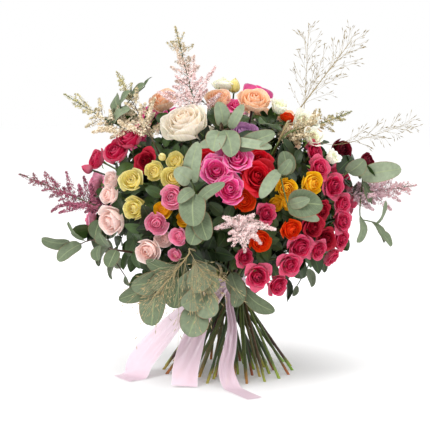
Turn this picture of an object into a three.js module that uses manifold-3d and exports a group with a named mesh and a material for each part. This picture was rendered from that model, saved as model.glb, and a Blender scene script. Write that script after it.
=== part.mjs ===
// A hand-tied mixed bouquet that stands on the flat cut ends of its spiralled stems.
// Millimetres, +Z up, the front towards -Y. The origin is the middle of the centre stem's cut end.
import * as THREE from "three";
import { mergeVertices } from "three/addons/utils/BufferGeometryUtils.js";
import Module from "manifold-3d";

const wasm = await Module();
wasm.setup();

// Driving dimensions
const CLEARANCE = 0.35;
const TIE_HEIGHT = 140;
const STEM_RADIUS = 2.12;
const STEM_RINGS = [
  { radius: 0, slope: 0, count: 1 },
  { radius: 4.85, slope: 0.3, count: 6 },
  { radius: 10.1, slope: 0.42, count: 12 },
  { radius: 15.35, slope: 0.52, count: 18 },
  { radius: 20.6, slope: 0.73, count: 21 },
];
const TWINE = { height: 9, thickness: 2, groove: 0.6 };
const RIBBON = { thickness: 0.8, bandHeight: 26 };

// The flower head: a dome, and the hub that every branch inside it spreads from
const DOME = { centre: new THREE.Vector3(-13, 0, 260), radii: new THREE.Vector3(216, 200, 195) };
const HUB = new THREE.Vector3(0, 0, 168);
const JUNCTION_SHARE = 0.5;
const STALK_RADIUS = 1.5;
const GOLDEN_ANGLE = Math.PI * (3 - Math.sqrt(5));

// The front view that places are read in: millimetres across and up from the target
const VIEW = { eye: new THREE.Vector3(-21, -2200, 520), target: new THREE.Vector3(-21, 0, 251) };
const UP = new THREE.Vector3(0, 0, 1);
const FRONT = new THREE.Vector3(0, -1, 0);

const MERGE_DISTANCE = 1e-3;

const COLOURS = {
  peach: "#ffc79a",
  white: "#f6f3e2",
  hotPink: "#e0408f",
  cream: "#fbf0dc",
  orange: "#ff4e00",
  lavender: "#a678b8",
  red: "#c4001a",
  yellow: "#f7b500",
  raspberry: "#c2185b",
  crimson: "#a30d35",
  burgundy: "#6e0a1e",
  paleYellow: "#efdc78",
  pink: "#ee7fa8",
  blush: "#f6d5d5",
  eucalyptus: "#7f947f",
  astilbePale: "#ebcfd0",
  astilbeCream: "#e2d2aa",
  astilbeCrimson: "#8e2a45",
  astilbeLilac: "#ddb4be",
  astilbeBeige: "#d0bd96",
  grass: "#b49a6a",
  stem: "#5f7a38",
  twine: "#b59a68",
  ribbon: "#e6d2de",
};

// Solids from points
function solidOf(points, faces) {
  const skin = new THREE.BufferGeometry().setFromPoints(points).setIndex(faces);
  const merged = mergeVertices(skin, MERGE_DISTANCE);
  return new wasm.Manifold(
    new wasm.Mesh({
      numProp: 3,
      vertProperties: merged.attributes.position.array,
      triVerts: new Uint32Array(merged.index.array),
    }),
  );
}

const joined = (solids) => solids.reduce((whole, solid) => whole.add(solid));

function largestBody(solid) {
  const bodies = solid.decompose();
  return bodies.reduce((best, body) => (body.volume() > best.volume() ? body : best));
}

// A closed skin over rings of points, with a point or a flat face at each end.
// A ring has as many points as the one before it, or twice or half as many.
function loft(rings, bottom = null, top = null) {
  const points = rings.flat();
  const faces = [];
  let first = 0;
  const span = (fine, coarse, sides, flip) => {
    const put = (a, b, c) => faces.push(...(flip ? [a, c, b] : [a, b, c]));
    for (let side = 0; side < sides; side++) {
      const next = (side + 1) % sides;
      put(coarse + side, fine + 2 * side + 1, fine + 2 * side);
      put(coarse + side, coarse + next, fine + 2 * side + 1);
      put(coarse + next, fine + 2 * next, fine + 2 * side + 1);
    }
  };
  rings.slice(1).forEach((ring, index) => {
    const here = rings[index].length;
    const above = first + here;
    if (ring.length > here) span(above, first, here, false);
    else if (ring.length < here) span(first, above, ring.length, true);
    else {
      for (let side = 0; side < here; side++) {
        const next = (side + 1) % here;
        faces.push(first + side, first + next, above + next, first + side, above + next, above + side);
      }
    }
    first = above;
  });
  const close = (start, sides, tip, forward) => {
    if (tip) points.push(tip);
    for (let side = tip ? 0 : 1; side < (tip ? sides : sides - 1); side++) {
      const pair = [start + side, start + ((side + 1) % sides)];
      faces.push(tip ? points.length - 1 : start, ...(forward ? pair : pair.reverse()));
    }
  };
  close(0, rings[0].length, bottom, false);
  close(first, rings[rings.length - 1].length, top, true);
  return solidOf(points, faces);
}

// Three directions at right angles, the third along the axis. An upright axis takes the front for its
// first side.
const UPRIGHT = 0.99;

function basisAlong(axis, near = null) {
  const forward = axis.clone().normalize();
  const helper = near ?? (Math.abs(forward.z) > UPRIGHT ? FRONT : UP.clone().cross(forward));
  const side = helper.clone().addScaledVector(forward, -helper.dot(forward)).normalize();
  return { side, other: forward.clone().cross(side), forward };
}

function circle(centre, basis, radius, sides, wave = () => ({ share: 1, lift: 0 })) {
  return Array.from({ length: sides }, (_, index) => {
    const { share, lift, turn = 0 } = wave(index);
    const angle = ((index + turn) / sides) * 2 * Math.PI;
    return centre
      .clone()
      .addScaledVector(basis.side, Math.cos(angle) * radius * share)
      .addScaledVector(basis.other, Math.sin(angle) * radius * share)
      .addScaledVector(basis.forward, lift);
  });
}

// Rings across a line of points, each turned as little as it can be from the one before.
// The first is level where a level is given, and each can have its own radius.
function ringsAlong(path, radius, sides, level = null) {
  let near = null;
  return path.map((point, index) => {
    const before = path[Math.max(index - 1, 0)];
    const after = path[Math.min(index + 1, path.length - 1)];
    const basis = basisAlong(after.clone().sub(before), near);
    near = basis.side;
    const ring = circle(point, basis, Array.isArray(radius) ? radius[index] : radius, sides);
    if (index === 0 && level !== null) {
      ring.forEach((corner) => corner.addScaledVector(basis.forward, (level - corner.z) / basis.forward.z));
    }
    return ring;
  });
}

const BAR_SIDES = 4;

const tube = (path, radius, level = null, sides = BAR_SIDES) => loft(ringsAlong(path, radius, sides, level));

// The room round a bar: an eight-sided tube whose flats stay one clearance away from the bar's corners
const ROOM_SIDES = 8;

function tubeRoom(path, radius) {
  const corner = (value) => (value + CLEARANCE) / Math.cos(Math.PI / ROOM_SIDES);
  return tube(path, Array.isArray(radius) ? radius.map(corner) : corner(radius), null, ROOM_SIDES);
}

// Places in the front view
function sightLine(across, up) {
  const forward = VIEW.target.clone().sub(VIEW.eye).normalize();
  const right = new THREE.Vector3(1, 0, 0);
  const above = right.clone().cross(forward);
  const seen = VIEW.target.clone().addScaledVector(right, across).addScaledVector(above, up);
  return new THREE.Ray(VIEW.eye, seen.sub(VIEW.eye).normalize());
}

// Where a sight line meets the dome raised by lift, or passes nearest to it
function dome(across, up, lift = 0) {
  const ray = sightLine(across, up);
  const radii = DOME.radii.clone().addScalar(lift);
  const start = ray.origin.clone().sub(DOME.centre).divide(radii);
  const step = ray.direction.clone().divide(radii);
  const a = step.dot(step);
  const b = start.dot(step);
  const reach = b * b - a * (start.dot(start) - 1);
  return ray.at((-b - Math.sqrt(Math.max(reach, 0))) / a, new THREE.Vector3());
}

// Where a sight line meets the upright plane at a depth
function plane(across, up, depth) {
  const ray = sightLine(across, up);
  return ray.at((depth - ray.origin.y) / ray.direction.y, new THREE.Vector3());
}

// A place on the dome by its bearing round the axis from +X and its elevation, in degrees
function around(bearing, elevation, lift = 0) {
  const turn = THREE.MathUtils.degToRad(bearing);
  const rise = THREE.MathUtils.degToRad(elevation);
  const radii = DOME.radii.clone().addScalar(lift);
  return new THREE.Vector3(Math.cos(turn) * Math.cos(rise), Math.sin(turn) * Math.cos(rise), Math.sin(rise))
    .multiply(radii)
    .add(DOME.centre);
}

function outward(point) {
  return point.clone().sub(DOME.centre).divide(DOME.radii).divide(DOME.radii).normalize();
}

const viewScale = (point) => point.distanceTo(VIEW.eye) / VIEW.target.distanceTo(VIEW.eye);

// Blooms: each is read by its place and width, and faces outwards, leaning to the front
const BLOOM_LEAN = 0.35;

function bloom(kind, point, width, lean = BLOOM_LEAN) {
  const facing = outward(point).addScaledVector(FRONT, point.y > 0 ? 0 : lean).normalize();
  return { kind, point, width: width * (point.y < 0 ? viewScale(point) : 1), facing };
}

const rose = (point, width, lean) => bloom("rose", point, width, lean);
const bell = (point, width, lean) => bloom("bell", point, width, lean);
const bud = (point, width, lean) => bloom("bud", point, width, lean);

// The profile of each kind in widths. A ring of double points has petals, with notches as deep as its wave,
// and turn is how far the ring is turned, in petals. The room is the height and radius of each ring of a skin
// that stays clear round the bloom.
const PROFILES = {
  rose: {
    petals: 4,
    base: -0.38,
    top: 0.07,
    room: [
      [-0.14, 0.42],
      [0.05, 0.54],
      [0.22, 0.36],
    ],
    rings: [
      { radius: 0.49, height: 0.0, double: true, wave: 0.12, turn: 0 },
      { radius: 0.32, height: -0.03, turn: 0 },
      { radius: 0.27, height: 0.17, turn: 0.5 },
    ],
  },
  fullRose: {
    petals: 5,
    base: -0.38,
    top: 0.09,
    room: [
      [-0.26, 0.41],
      [0.02, 0.55],
      [0.24, 0.38],
    ],
    rings: [
      { radius: 0.36, height: -0.24, turn: 0 },
      { radius: 0.49, height: 0.0, double: true, wave: 0.1, turn: 0 },
      { radius: 0.38, height: -0.03, turn: 0 },
      { radius: 0.33, height: 0.14, turn: 0.5 },
      { radius: 0.2, height: 0.08, turn: 0.5 },
      { radius: 0.15, height: 0.21, turn: 0 },
    ],
  },
  bell: {
    petals: 4,
    base: -0.5,
    top: -0.05,
    room: [
      [-0.34, 0.35],
      [0.02, 0.47],
      [0.26, 0.54],
    ],
    rings: [
      { radius: 0.3, height: -0.32, turn: 0 },
      { radius: 0.48, height: 0.22, double: true, wave: 0.14, turn: 0 },
      { radius: 0.28, height: 0.04, turn: 0 },
    ],
  },
  bud: {
    petals: 4,
    base: -0.55,
    top: 0.7,
    room: [
      [-0.16, 0.54],
      [0.42, 0.36],
      [0.74, 0.1],
    ],
    rings: [
      { radius: 0.48, height: -0.15, turn: 0 },
      { radius: 0.28, height: 0.4, turn: 0.5 },
    ],
  },
};
const FULL_ROSE_WIDTH = 46;
const CALYX_RADIUS = 2.2;
const NOTCH_RISE = 0.3;

const isFull = ({ kind, width }) => kind === "rose" && width > FULL_ROSE_WIDTH;
const profileOf = (flower) => PROFILES[isFull(flower) ? "fullRose" : flower.kind];
const heightOn = ({ point, facing, width }, height) => point.clone().addScaledVector(facing, height * width);
const baseOf = (flower) => heightOn(flower, profileOf(flower).base);

// A bloom on its stalk, or on its whole stem: one skin from the stalk's start over the rings of petals
function bloomSolid(flower, path, radius, level = null) {
  const { width, facing } = flower;
  const { petals, top, rings } = profileOf(flower);
  const stalk = ringsAlong(
    [...path, baseOf(flower)],
    [...path.map(() => radius), CALYX_RADIUS],
    petals,
    level,
  );
  const end = stalk[stalk.length - 1];
  const basis = basisAlong(facing, end[0].clone().sub(baseOf(flower)));
  const crown = rings.map(({ radius: reach, height, double, wave, turn }) =>
    circle(heightOn(flower, height), basis, reach * width, double ? 2 * petals : petals, (index) => {
      const notch = double && index % 2 === 1;
      return { share: notch ? 1 - wave : 1, lift: notch ? wave * NOTCH_RISE * width : 0, turn };
    }),
  );
  return loft([...stalk, ...crown], null, heightOn(flower, top));
}

// The room that a bloom keeps clear of its neighbours
function bloomRoom(flower) {
  const { width, facing } = flower;
  const basis = basisAlong(facing);
  const rings = profileOf(flower).room.map(([height, radius]) =>
    circle(heightOn(flower, height), basis, radius * width + CLEARANCE, ROOM_SIDES),
  );
  return loft(rings, baseOf(flower).addScaledVector(facing, -2 * CLEARANCE));
}

// Where a spray's stalks part: a share of the way from the hub to the middle of its blooms
function junctionOf(points, share = JUNCTION_SHARE) {
  const sum = points.reduce((total, point) => total.add(point), new THREE.Vector3());
  return HUB.clone().lerp(sum.divideScalar(points.length), share);
}

// A spray: the first bloom ends the main stem, and the stalks of the others leave it in turn
const STALK_PITCH = 7;

function spray({ name, colour, blooms, straight }) {
  const junction = junctionOf(blooms.map(baseOf));
  const [first, ...others] = blooms;
  const leaving = (index) => {
    const onwards = baseOf(first).sub(junction).normalize();
    return junction.clone().addScaledVector(onwards, index * STALK_PITCH);
  };
  return {
    name,
    colour,
    junction,
    straight,
    build: (stem) => ({
      head: joined([
        bloomSolid(first, stem, STEM_RADIUS, 0),
        ...others.map((flower, index) => bloomSolid(flower, [leaving(index)], STALK_RADIUS)),
      ]),
      headRoom: joined(blooms.map(bloomRoom)),
      stalkRoom: joined([
        tubeRoom([...stem, baseOf(first)], STEM_RADIUS),
        ...others.map((flower, index) => tubeRoom([leaving(index), baseOf(flower)], CALYX_RADIUS)),
      ]),
    }),
  };
}

// A back spray: blooms set round its middle by the golden angle, in sizes that come round again
const BACK = { width: 39, spread: 22.5, firstStep: 0.4, shrink: 0.06, sizes: 3 };

function backSpray({ name, colour, bearing, elevation, count, straight, width = BACK.width, spread = BACK.spread }) {
  const centre = around(bearing, elevation);
  const basis = basisAlong(outward(centre));
  const blooms = Array.from({ length: count }, (_, index) => {
    const angle = index * GOLDEN_ANGLE;
    const reach = spread * Math.sqrt(index + BACK.firstStep);
    const spot = centre
      .clone()
      .addScaledVector(basis.side, Math.cos(angle) * reach)
      .addScaledVector(basis.other, Math.sin(angle) * reach);
    const ray = spot.sub(DOME.centre);
    const point = DOME.centre.clone().addScaledVector(ray, 1 / ray.clone().divide(DOME.radii).length());
    return rose(point, width * (1 - BACK.shrink * (index % BACK.sizes)));
  });
  return spray({ name, colour, blooms, straight });
}

// Eucalyptus: a blade folded a little along its midrib and arched, from a base on the stem
const LEAF = { thickness: 0.8, fold: 0.1, arch: 0.12 };
const LEAF_OUTLINE = [
  [-0.02, 0],
  [0.3, 0.95],
  [0.74, 0.82],
  [1, 0],
  [0.74, -0.82],
  [0.3, -0.95],
];
const TWIG_RADIUS = 1.2;

function leafRise(length, width, along, across) {
  return LEAF.arch * length * Math.sin(Math.PI * along) + LEAF.fold * width * Math.abs(across);
}

function leafSolid({ base, tip, width, normal }, grow = 0) {
  const axis = tip.clone().sub(base);
  const length = axis.length();
  const forward = axis.normalize();
  const side = forward.clone().cross(normal).normalize();
  const above = side.clone().cross(forward).normalize();
  const half = LEAF.thickness / 2 + grow;
  const at = (along, across, face) =>
    base
      .clone()
      .addScaledVector(forward, along * (length + 2 * grow) - grow)
      .addScaledVector(side, across * (width / 2 + grow))
      .addScaledVector(above, leafRise(length, width, along, across) + face * half);
  const count = LEAF_OUTLINE.length;
  const rimOf = (hand) => LEAF_OUTLINE.map(([along, across]) => at(along, across, hand));
  const face = (hand) => [...rimOf(hand), at(0.5, 0, hand)];
  const under = count + 1;
  const faces = [];
  for (let index = 0; index < count; index++) {
    const next = (index + 1) % count;
    faces.push(index, next, count);
    faces.push(next + under, index + under, count + under);
    faces.push(index, index + under, next + under, index, next + under, next);
  }
  return solidOf([...face(1), ...face(-1)], faces);
}

// Two opposite leaves as one blade that crosses the twig at a narrow waist, so that they hold together there
const WAIST_HALF = 0.9;

function leafPairSolid(pair, run) {
  const outline = LEAF_OUTLINE.slice(1);
  const rim = outline.length;
  const half = LEAF.thickness / 2;
  const points = [];
  const faces = [];
  for (const hand of [1, -1]) {
    const { normal, base } = pair[0];
    const above = pair[0].normal.clone().add(pair[1].normal).normalize();
    points.push(base.clone().addScaledVector(run, -WAIST_HALF).addScaledVector(above, hand * half));
    points.push(base.clone().addScaledVector(run, WAIST_HALF).addScaledVector(above, hand * half));
    for (const { tip, width, normal: up } of pair) {
      const axis = tip.clone().sub(base);
      const length = axis.length();
      const forward = axis.normalize();
      const side = forward.clone().cross(up).normalize();
      const top = side.clone().cross(forward);
      const place = (along, across) =>
        base
          .clone()
          .addScaledVector(forward, along * length)
          .addScaledVector(side, (across * width) / 2)
          .addScaledVector(top, leafRise(length, width, along, across) + hand * half);
      points.push(...outline.map(([along, across]) => place(along, across)), place(0.5, 0));
    }
  }
  const under = 2 + 2 * (rim + 1);
  [0, 1].forEach((which) => {
    const start = 2 + which * (rim + 1);
    const waist = which ? [1, 0] : [0, 1];
    const ring = [waist[0], ...Array.from({ length: rim }, (_, index) => start + index), waist[1]];
    const centre = start + rim;
    ring.forEach((here, index) => {
      const next = ring[(index + 1) % ring.length];
      faces.push(here, next, centre, next + under, here + under, centre + under);
      if (index < ring.length - 1) faces.push(here, here + under, next + under, here, next + under, next);
    });
  });
  return solidOf(points, faces);
}

// A leaf read in the front view: where its base is, its heading in degrees, length, width and the pitch
// of its tip towards the eye, on top of the rise that every leaf has
const LEAF_RISE = 16;
const LEAF_FACING = 0.6;

function frontLeaf(base, heading, length, width, pitch = 0) {
  const turn = THREE.MathUtils.degToRad(heading);
  const tilt = THREE.MathUtils.degToRad(pitch + LEAF_RISE);
  const flat = new THREE.Vector3(Math.cos(turn), 0, Math.sin(turn));
  const direction = flat.multiplyScalar(Math.cos(tilt)).addScaledVector(FRONT, Math.sin(tilt));
  const normal = outward(base).addScaledVector(FRONT, LEAF_FACING).normalize();
  return { base, tip: base.clone().addScaledVector(direction, length), width, normal };
}

function sprig({ name, stem, leaves, blades = leaves.map((leaf) => leafSolid(leaf)) }) {
  return {
    name,
    colour: "eucalyptus",
    junction: junctionOf([stem[0]]),
    build: (below) => {
      const path = [...below, ...stem];
      const radii = path.map((_, index) => (index < below.length ? STEM_RADIUS : TWIG_RADIUS));
      return {
        stalk: tube(path, radii, 0),
        stalkRoom: tubeRoom(path, radii),
        head: joined(blades),
        headRoom: joined(leaves.map((leaf) => leafSolid(leaf, CLEARANCE))),
      };
    },
  };
}

// A read sprig: its stem runs through the leaves' bases in order
function frontSprig({ name, leaves }) {
  return sprig({ name, stem: leaves.map((leaf) => leaf.base), leaves });
}

// A ruled sprig: it lies over the dome from a start, and carries leaf pairs that shrink to its tip
const RULED = {
  lift: 14,
  bow: 0.25,
  first: 46,
  shrink: 18,
  width: 0.62,
  onwards: 0.62,
  aside: 0.72,
  rises: [0.1, 0.4],
  cup: 0.3,
  end: { length: 26, width: 13 },
};

function ruledSprig({ name, bearing, elevation, towards, length, pairs }) {
  const start = around(bearing, elevation, RULED.lift);
  const normal = outward(start);
  const heading = THREE.MathUtils.degToRad(towards);
  const basis = basisAlong(normal);
  const run = basis.side
    .clone()
    .multiplyScalar(Math.cos(heading))
    .addScaledVector(basis.other, Math.sin(heading));
  const across = normal.clone().cross(run);
  const stem = Array.from({ length: pairs + 1 }, (_, index) => {
    const share = index / pairs;
    return start
      .clone()
      .addScaledVector(run, share * length)
      .addScaledVector(normal, RULED.bow * length * share * (1 - share));
  });
  const couples = stem.slice(0, -1).map((base, index) => {
    const size = RULED.first - RULED.shrink * (index / pairs);
    return [-1, 1].map((hand) => {
      const direction = run
        .clone()
        .multiplyScalar(RULED.onwards)
        .addScaledVector(across, hand * RULED.aside)
        .addScaledVector(normal, RULED.rises[index % 2])
        .normalize();
      const tip = base.clone().addScaledVector(direction, size);
      const facing = normal.clone().addScaledVector(across, hand * RULED.cup);
      return { base, tip, width: size * RULED.width, normal: facing };
    });
  });
  const last = stem[stem.length - 1];
  const tip = last.clone().addScaledVector(run, RULED.end.length);
  const end = { base: last, tip, width: RULED.end.width, normal };
  const blades = [...couples.map((pair) => leafPairSolid(pair, run)), leafSolid(end)];
  return sprig({ name, stem, leaves: [...couples.flat(), end], blades });
}

// Astilbe: pairs of floret spikes, each pair one skin through the stem, longest low down
const SPIKE = [
  { along: 0.92, radius: 0.35 },
  { along: 0.6, radius: 0.95 },
  { along: 0.3, radius: 0.7 },
];

// A pair of spikes, or of any slim things, from one tip through their common base to the other tip
function pairAcross(base, arms, marks, grow) {
  const out = arms.map(({ direction, length }) => {
    const rings = marks.map(({ along, radius }) => ({
      point: base.clone().addScaledVector(direction, along * length),
      radius: radius + grow,
    }));
    return { tip: base.clone().addScaledVector(direction, length + 2 * grow), rings };
  });
  const middle = { point: base, radius: marks[marks.length - 1].radius + grow };
  const line = [...out[0].rings, middle, ...out[1].rings.reverse()];
  const rings = ringsAlong(
    line.map((mark) => mark.point),
    line.map((mark) => mark.radius),
    3,
  );
  return loft(rings, out[0].tip, out[1].tip);
}

// The two arms of a pair, the second a little shorter
const SECOND_ARM = 0.88;

function armsAt(basis, angle, spread, onwards, length) {
  return [0, Math.PI].map((turn) => ({
    direction: basis.side
      .clone()
      .multiplyScalar(Math.cos(angle + turn) * spread)
      .addScaledVector(basis.other, Math.sin(angle + turn) * spread)
      .addScaledVector(basis.forward, onwards)
      .normalize(),
    length: length * (turn ? SECOND_ARM : 1),
  }));
}

const PLUME = { spread: 0.85, onwards: 0.7, bare: 0.06, end: 0.86, taper: 0.75, radius: 4.6, thin: 0.45 };

function plumeSpikes({ from, tip, pairs, reach, spread = PLUME.spread, bare = PLUME.bare }, grow) {
  const axis = tip.clone().sub(from);
  const basis = basisAlong(axis);
  return Array.from({ length: pairs }, (_, index) => {
    const share = bare + (PLUME.end - bare) * (index / pairs);
    const base = from.clone().addScaledVector(axis, share);
    const size = PLUME.radius * (1 - PLUME.thin * share);
    const marks = SPIKE.map((mark) => ({ along: mark.along, radius: mark.radius * size }));
    const length = reach * (1 - PLUME.taper * share);
    return pairAcross(base, armsAt(basis, index * GOLDEN_ANGLE, spread, PLUME.onwards, length), marks, grow);
  });
}

const PLUME_AXIS = [1.4, 2.4, 0.6];

function plume({ name, colour, heads }) {
  const [first, ...others] = heads;
  const axisOf = ({ from, tip }) => [from, from.clone().lerp(tip, 0.5), tip];
  const stalks = (below, bar) => {
    const radii = [...below.map(() => STEM_RADIUS), ...PLUME_AXIS];
    const own = bar([...below, ...axisOf(first)], radii, 0);
    const more = others.map((head) =>
      bar([below[below.length - 1], ...axisOf(head)], [PLUME_AXIS[0], ...PLUME_AXIS]),
    );
    return joined([own, ...more]);
  };
  return {
    name,
    colour,
    junction: junctionOf([first.from]),
    build: (below) => ({
      stalk: stalks(below, tube),
      stalkRoom: stalks(below, tubeRoom),
      head: joined(heads.flatMap((head) => plumeSpikes(head, 0))),
      headRoom: joined(heads.flatMap((head) => plumeSpikes(head, CLEARANCE))),
    }),
  };
}

// Fountain grass: hair-thin arching branches that end in spikelets
const GRASS = { stem: 0.8, branch: 0.5, bare: 0.15, end: 0.95, taper: 0.5, spread: 0.5 };
const SPIKELET = { length: 9, middle: 4, radius: 1.2 };

function grassBranches({ start, tip, pairs, reach }) {
  const axis = tip.clone().sub(start);
  const basis = basisAlong(axis);
  return Array.from({ length: pairs }, (_, index) => {
    const share = GRASS.bare + (GRASS.end - GRASS.bare) * (index / pairs);
    const length = reach * (1 - GRASS.taper * share);
    const marks = [
      { along: 1 - SPIKELET.middle / length, radius: SPIKELET.radius },
      { along: 1 - SPIKELET.length / length, radius: GRASS.branch },
    ];
    const base = start.clone().addScaledVector(axis, share);
    return pairAcross(base, armsAt(basis, index * GOLDEN_ANGLE, GRASS.spread, 1, length), marks, 0);
  });
}

function grass({ name, from, panicles }) {
  const stalks = (below, bar) => {
    const [first, ...others] = panicles;
    const upper = [from, first.start, first.tip];
    const radii = [...below.map(() => STEM_RADIUS), ...upper.map(() => GRASS.stem)];
    const more = others.map(({ start, tip }) => bar([from, start, tip], GRASS.stem));
    return joined([bar([...below, ...upper], radii, 0), ...more]);
  };
  return {
    name,
    colour: "grass",
    junction: junctionOf([from]),
    build: (below) => {
      const head = joined(panicles.flatMap(grassBranches));
      return { stalk: stalks(below, tube), stalkRoom: stalks(below, tubeRoom), head, headRoom: head };
    },
  };
}

// The front of the flower head
const frontSprays = [
  { name: "peach_rose_left", colour: "peach", blooms: [rose(dome(-83, 186), 45)] },
  { name: "peach_rose_middle", colour: "peach", blooms: [rose(dome(5, 189, -10), 38)] },
  { name: "peach_rose_right", colour: "peach", blooms: [rose(dome(64, 186), 46)] },
  { name: "cream_rose", colour: "cream", blooms: [rose(dome(-51, 154), 68, -0.45)] },
  { name: "lavender_rose", colour: "lavender", blooms: [rose(dome(46, 133, -26), 40)] },
  {
    name: "hot_pink_roses_front",
    colour: "hotPink",
    blooms: [rose(dome(2, 72, 8), 46), rose(dome(35, 91, 8), 50), rose(dome(24, 42, 4), 46)],
  },
  {
    name: "red_roses_front",
    colour: "red",
    blooms: [rose(dome(69, 62), 51), rose(dome(72, 90, -14), 40)],
  },
  { name: "red_rose_left", colour: "red", blooms: [rose(dome(-13, 90, -18), 40)] },
  {
    name: "yellow_roses_right",
    colour: "yellow",
    blooms: [
      rose(dome(115, 42), 34),
      rose(dome(157, 50), 35),
      rose(dome(117, 19, -16), 26),
      rose(dome(98, 18, -20), 24),
    ],
  },
  { name: "raspberry_rose_centre", colour: "raspberry", blooms: [rose(dome(83, 2, -6), 34)] },
  { name: "orange_rose_upper", colour: "orange", blooms: [rose(dome(46, 24, -8), 35)] },
  {
    name: "orange_roses_lower",
    colour: "orange",
    blooms: [rose(dome(123, -24), 35), rose(dome(72, -42, -6), 35)],
  },
  {
    name: "pink_rose_left",
    colour: "pink",
    blooms: [rose(dome(-69, 29), 39)],
  },
  {
    name: "pale_yellow_spray_upper",
    colour: "paleYellow",
    blooms: [
      rose(dome(-134, 56), 38),
      rose(dome(-98, 70, -8), 30),
      rose(dome(-64, 87, -14), 29),
      rose(dome(-67, 61, -10), 35),
      bud(dome(-85, 93, -4), 14),
    ],
  },
  {
    name: "pink_spray_left",
    colour: "pink",
    blooms: [
      rose(dome(-94, -13), 35),
      rose(dome(-59, -35), 30),
      rose(dome(-82, -39, -12), 29),
      rose(dome(-64, -64, -8), 22),
      rose(dome(-109, -58), 38),
    ],
  },
  {
    name: "yellow_spray_left",
    colour: "yellow",
    blooms: [
      rose(dome(-130, 10, -4), 38),
      rose(dome(-84, 9, -22), 30),
      rose(dome(-50, -6, -26), 26),
    ],
  },
  {
    name: "blush_spray_left",
    colour: "blush",
    blooms: [rose(dome(-168, 56, -12), 32), rose(dome(-171, 33), 34), rose(dome(-168, -11), 48)],
  },
  { name: "crimson_rose_left", colour: "crimson", blooms: [rose(dome(-112, 87, -18), 35)] },
  {
    name: "raspberry_spray_left",
    colour: "raspberry",
    blooms: [
      rose(dome(-138, 125), 45),
      rose(dome(-160, 103), 40),
      rose(dome(-192, 90), 33),
      bud(dome(-204, 74), 16),
    ],
  },
  {
    name: "lisianthus_spray_right",
    colour: "white",
    blooms: [
      bell(dome(104, 176), 32),
      bell(dome(144, 148), 45),
      bell(dome(158, 125, 6), 32),
      bell(dome(190, 93, 6), 26),
    ],
  },
  { name: "orange_rose_top", colour: "orange", blooms: [rose(dome(117, 158, -14), 24)] },
  {
    name: "burgundy_spray_right",
    colour: "burgundy",
    blooms: [rose(dome(204, 104), 37), rose(dome(246, 85), 28)],
  },
  {
    name: "raspberry_spray_right",
    colour: "raspberry",
    blooms: [
      rose(dome(162, 102, -4), 34),
      rose(dome(168, 74), 42),
      rose(dome(192, 46), 41),
      rose(dome(206, 18), 36),
    ],
  },
  {
    name: "crimson_spray_right",
    colour: "crimson",
    blooms: [rose(dome(171, 5, -8), 38), rose(dome(158, -20), 38), rose(dome(180, -38, -4), 36)],
  },
  {
    name: "raspberry_spray_lower",
    colour: "raspberry",
    blooms: [rose(dome(206, -9), 38), rose(dome(204, -38), 34), rose(dome(189, -70), 34)],
  },
  {
    name: "raspberry_spray_low",
    colour: "raspberry",
    blooms: [
      rose(dome(138, -52), 41),
      rose(dome(167, -58, 4), 33),
      rose(dome(121, -80, 4), 36),
      rose(dome(102, -114, 6), 36),
      rose(dome(69, -99, 6), 42),
      rose(dome(49, -68, -16), 28),
    ],
  },
  {
    name: "white_spray_top",
    colour: "white",
    blooms: [rose(dome(13, 214), 36), bud(dome(31, 206), 20)],
  },
  {
    name: "hot_pink_spray_top",
    colour: "hotPink",
    blooms: [rose(plane(70, 198, 40), 46), rose(dome(36, 176, -20), 34)],
  },
].map(spray);

// The back of the flower head
const backSprays = [
  { name: "raspberry_spray_back", colour: "raspberry", bearing: 18, elevation: 8, count: 6 },
  { name: "peach_spray_back", colour: "peach", bearing: 46, elevation: 44, count: 5, width: 46, spread: 26 },
  { name: "red_spray_back", colour: "red", bearing: 56, elevation: 2, count: 6, width: 44, spread: 25 },
  { name: "cream_spray_back", colour: "cream", bearing: 92, elevation: 34, count: 5, width: 50, spread: 29 },
  { name: "orange_spray_back", colour: "orange", bearing: 90, elevation: -14, count: 6 },
  {
    name: "hot_pink_spray_back",
    colour: "hotPink",
    bearing: 136,
    elevation: 42,
    count: 5,
    straight: 38,
    width: 46,
    spread: 26,
  },
  { name: "yellow_spray_back", colour: "paleYellow", bearing: 124, elevation: 4, count: 6, spread: 24 },
  { name: "pink_spray_back", colour: "pink", bearing: 160, elevation: 2, count: 6 },
].map(backSpray);

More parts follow.
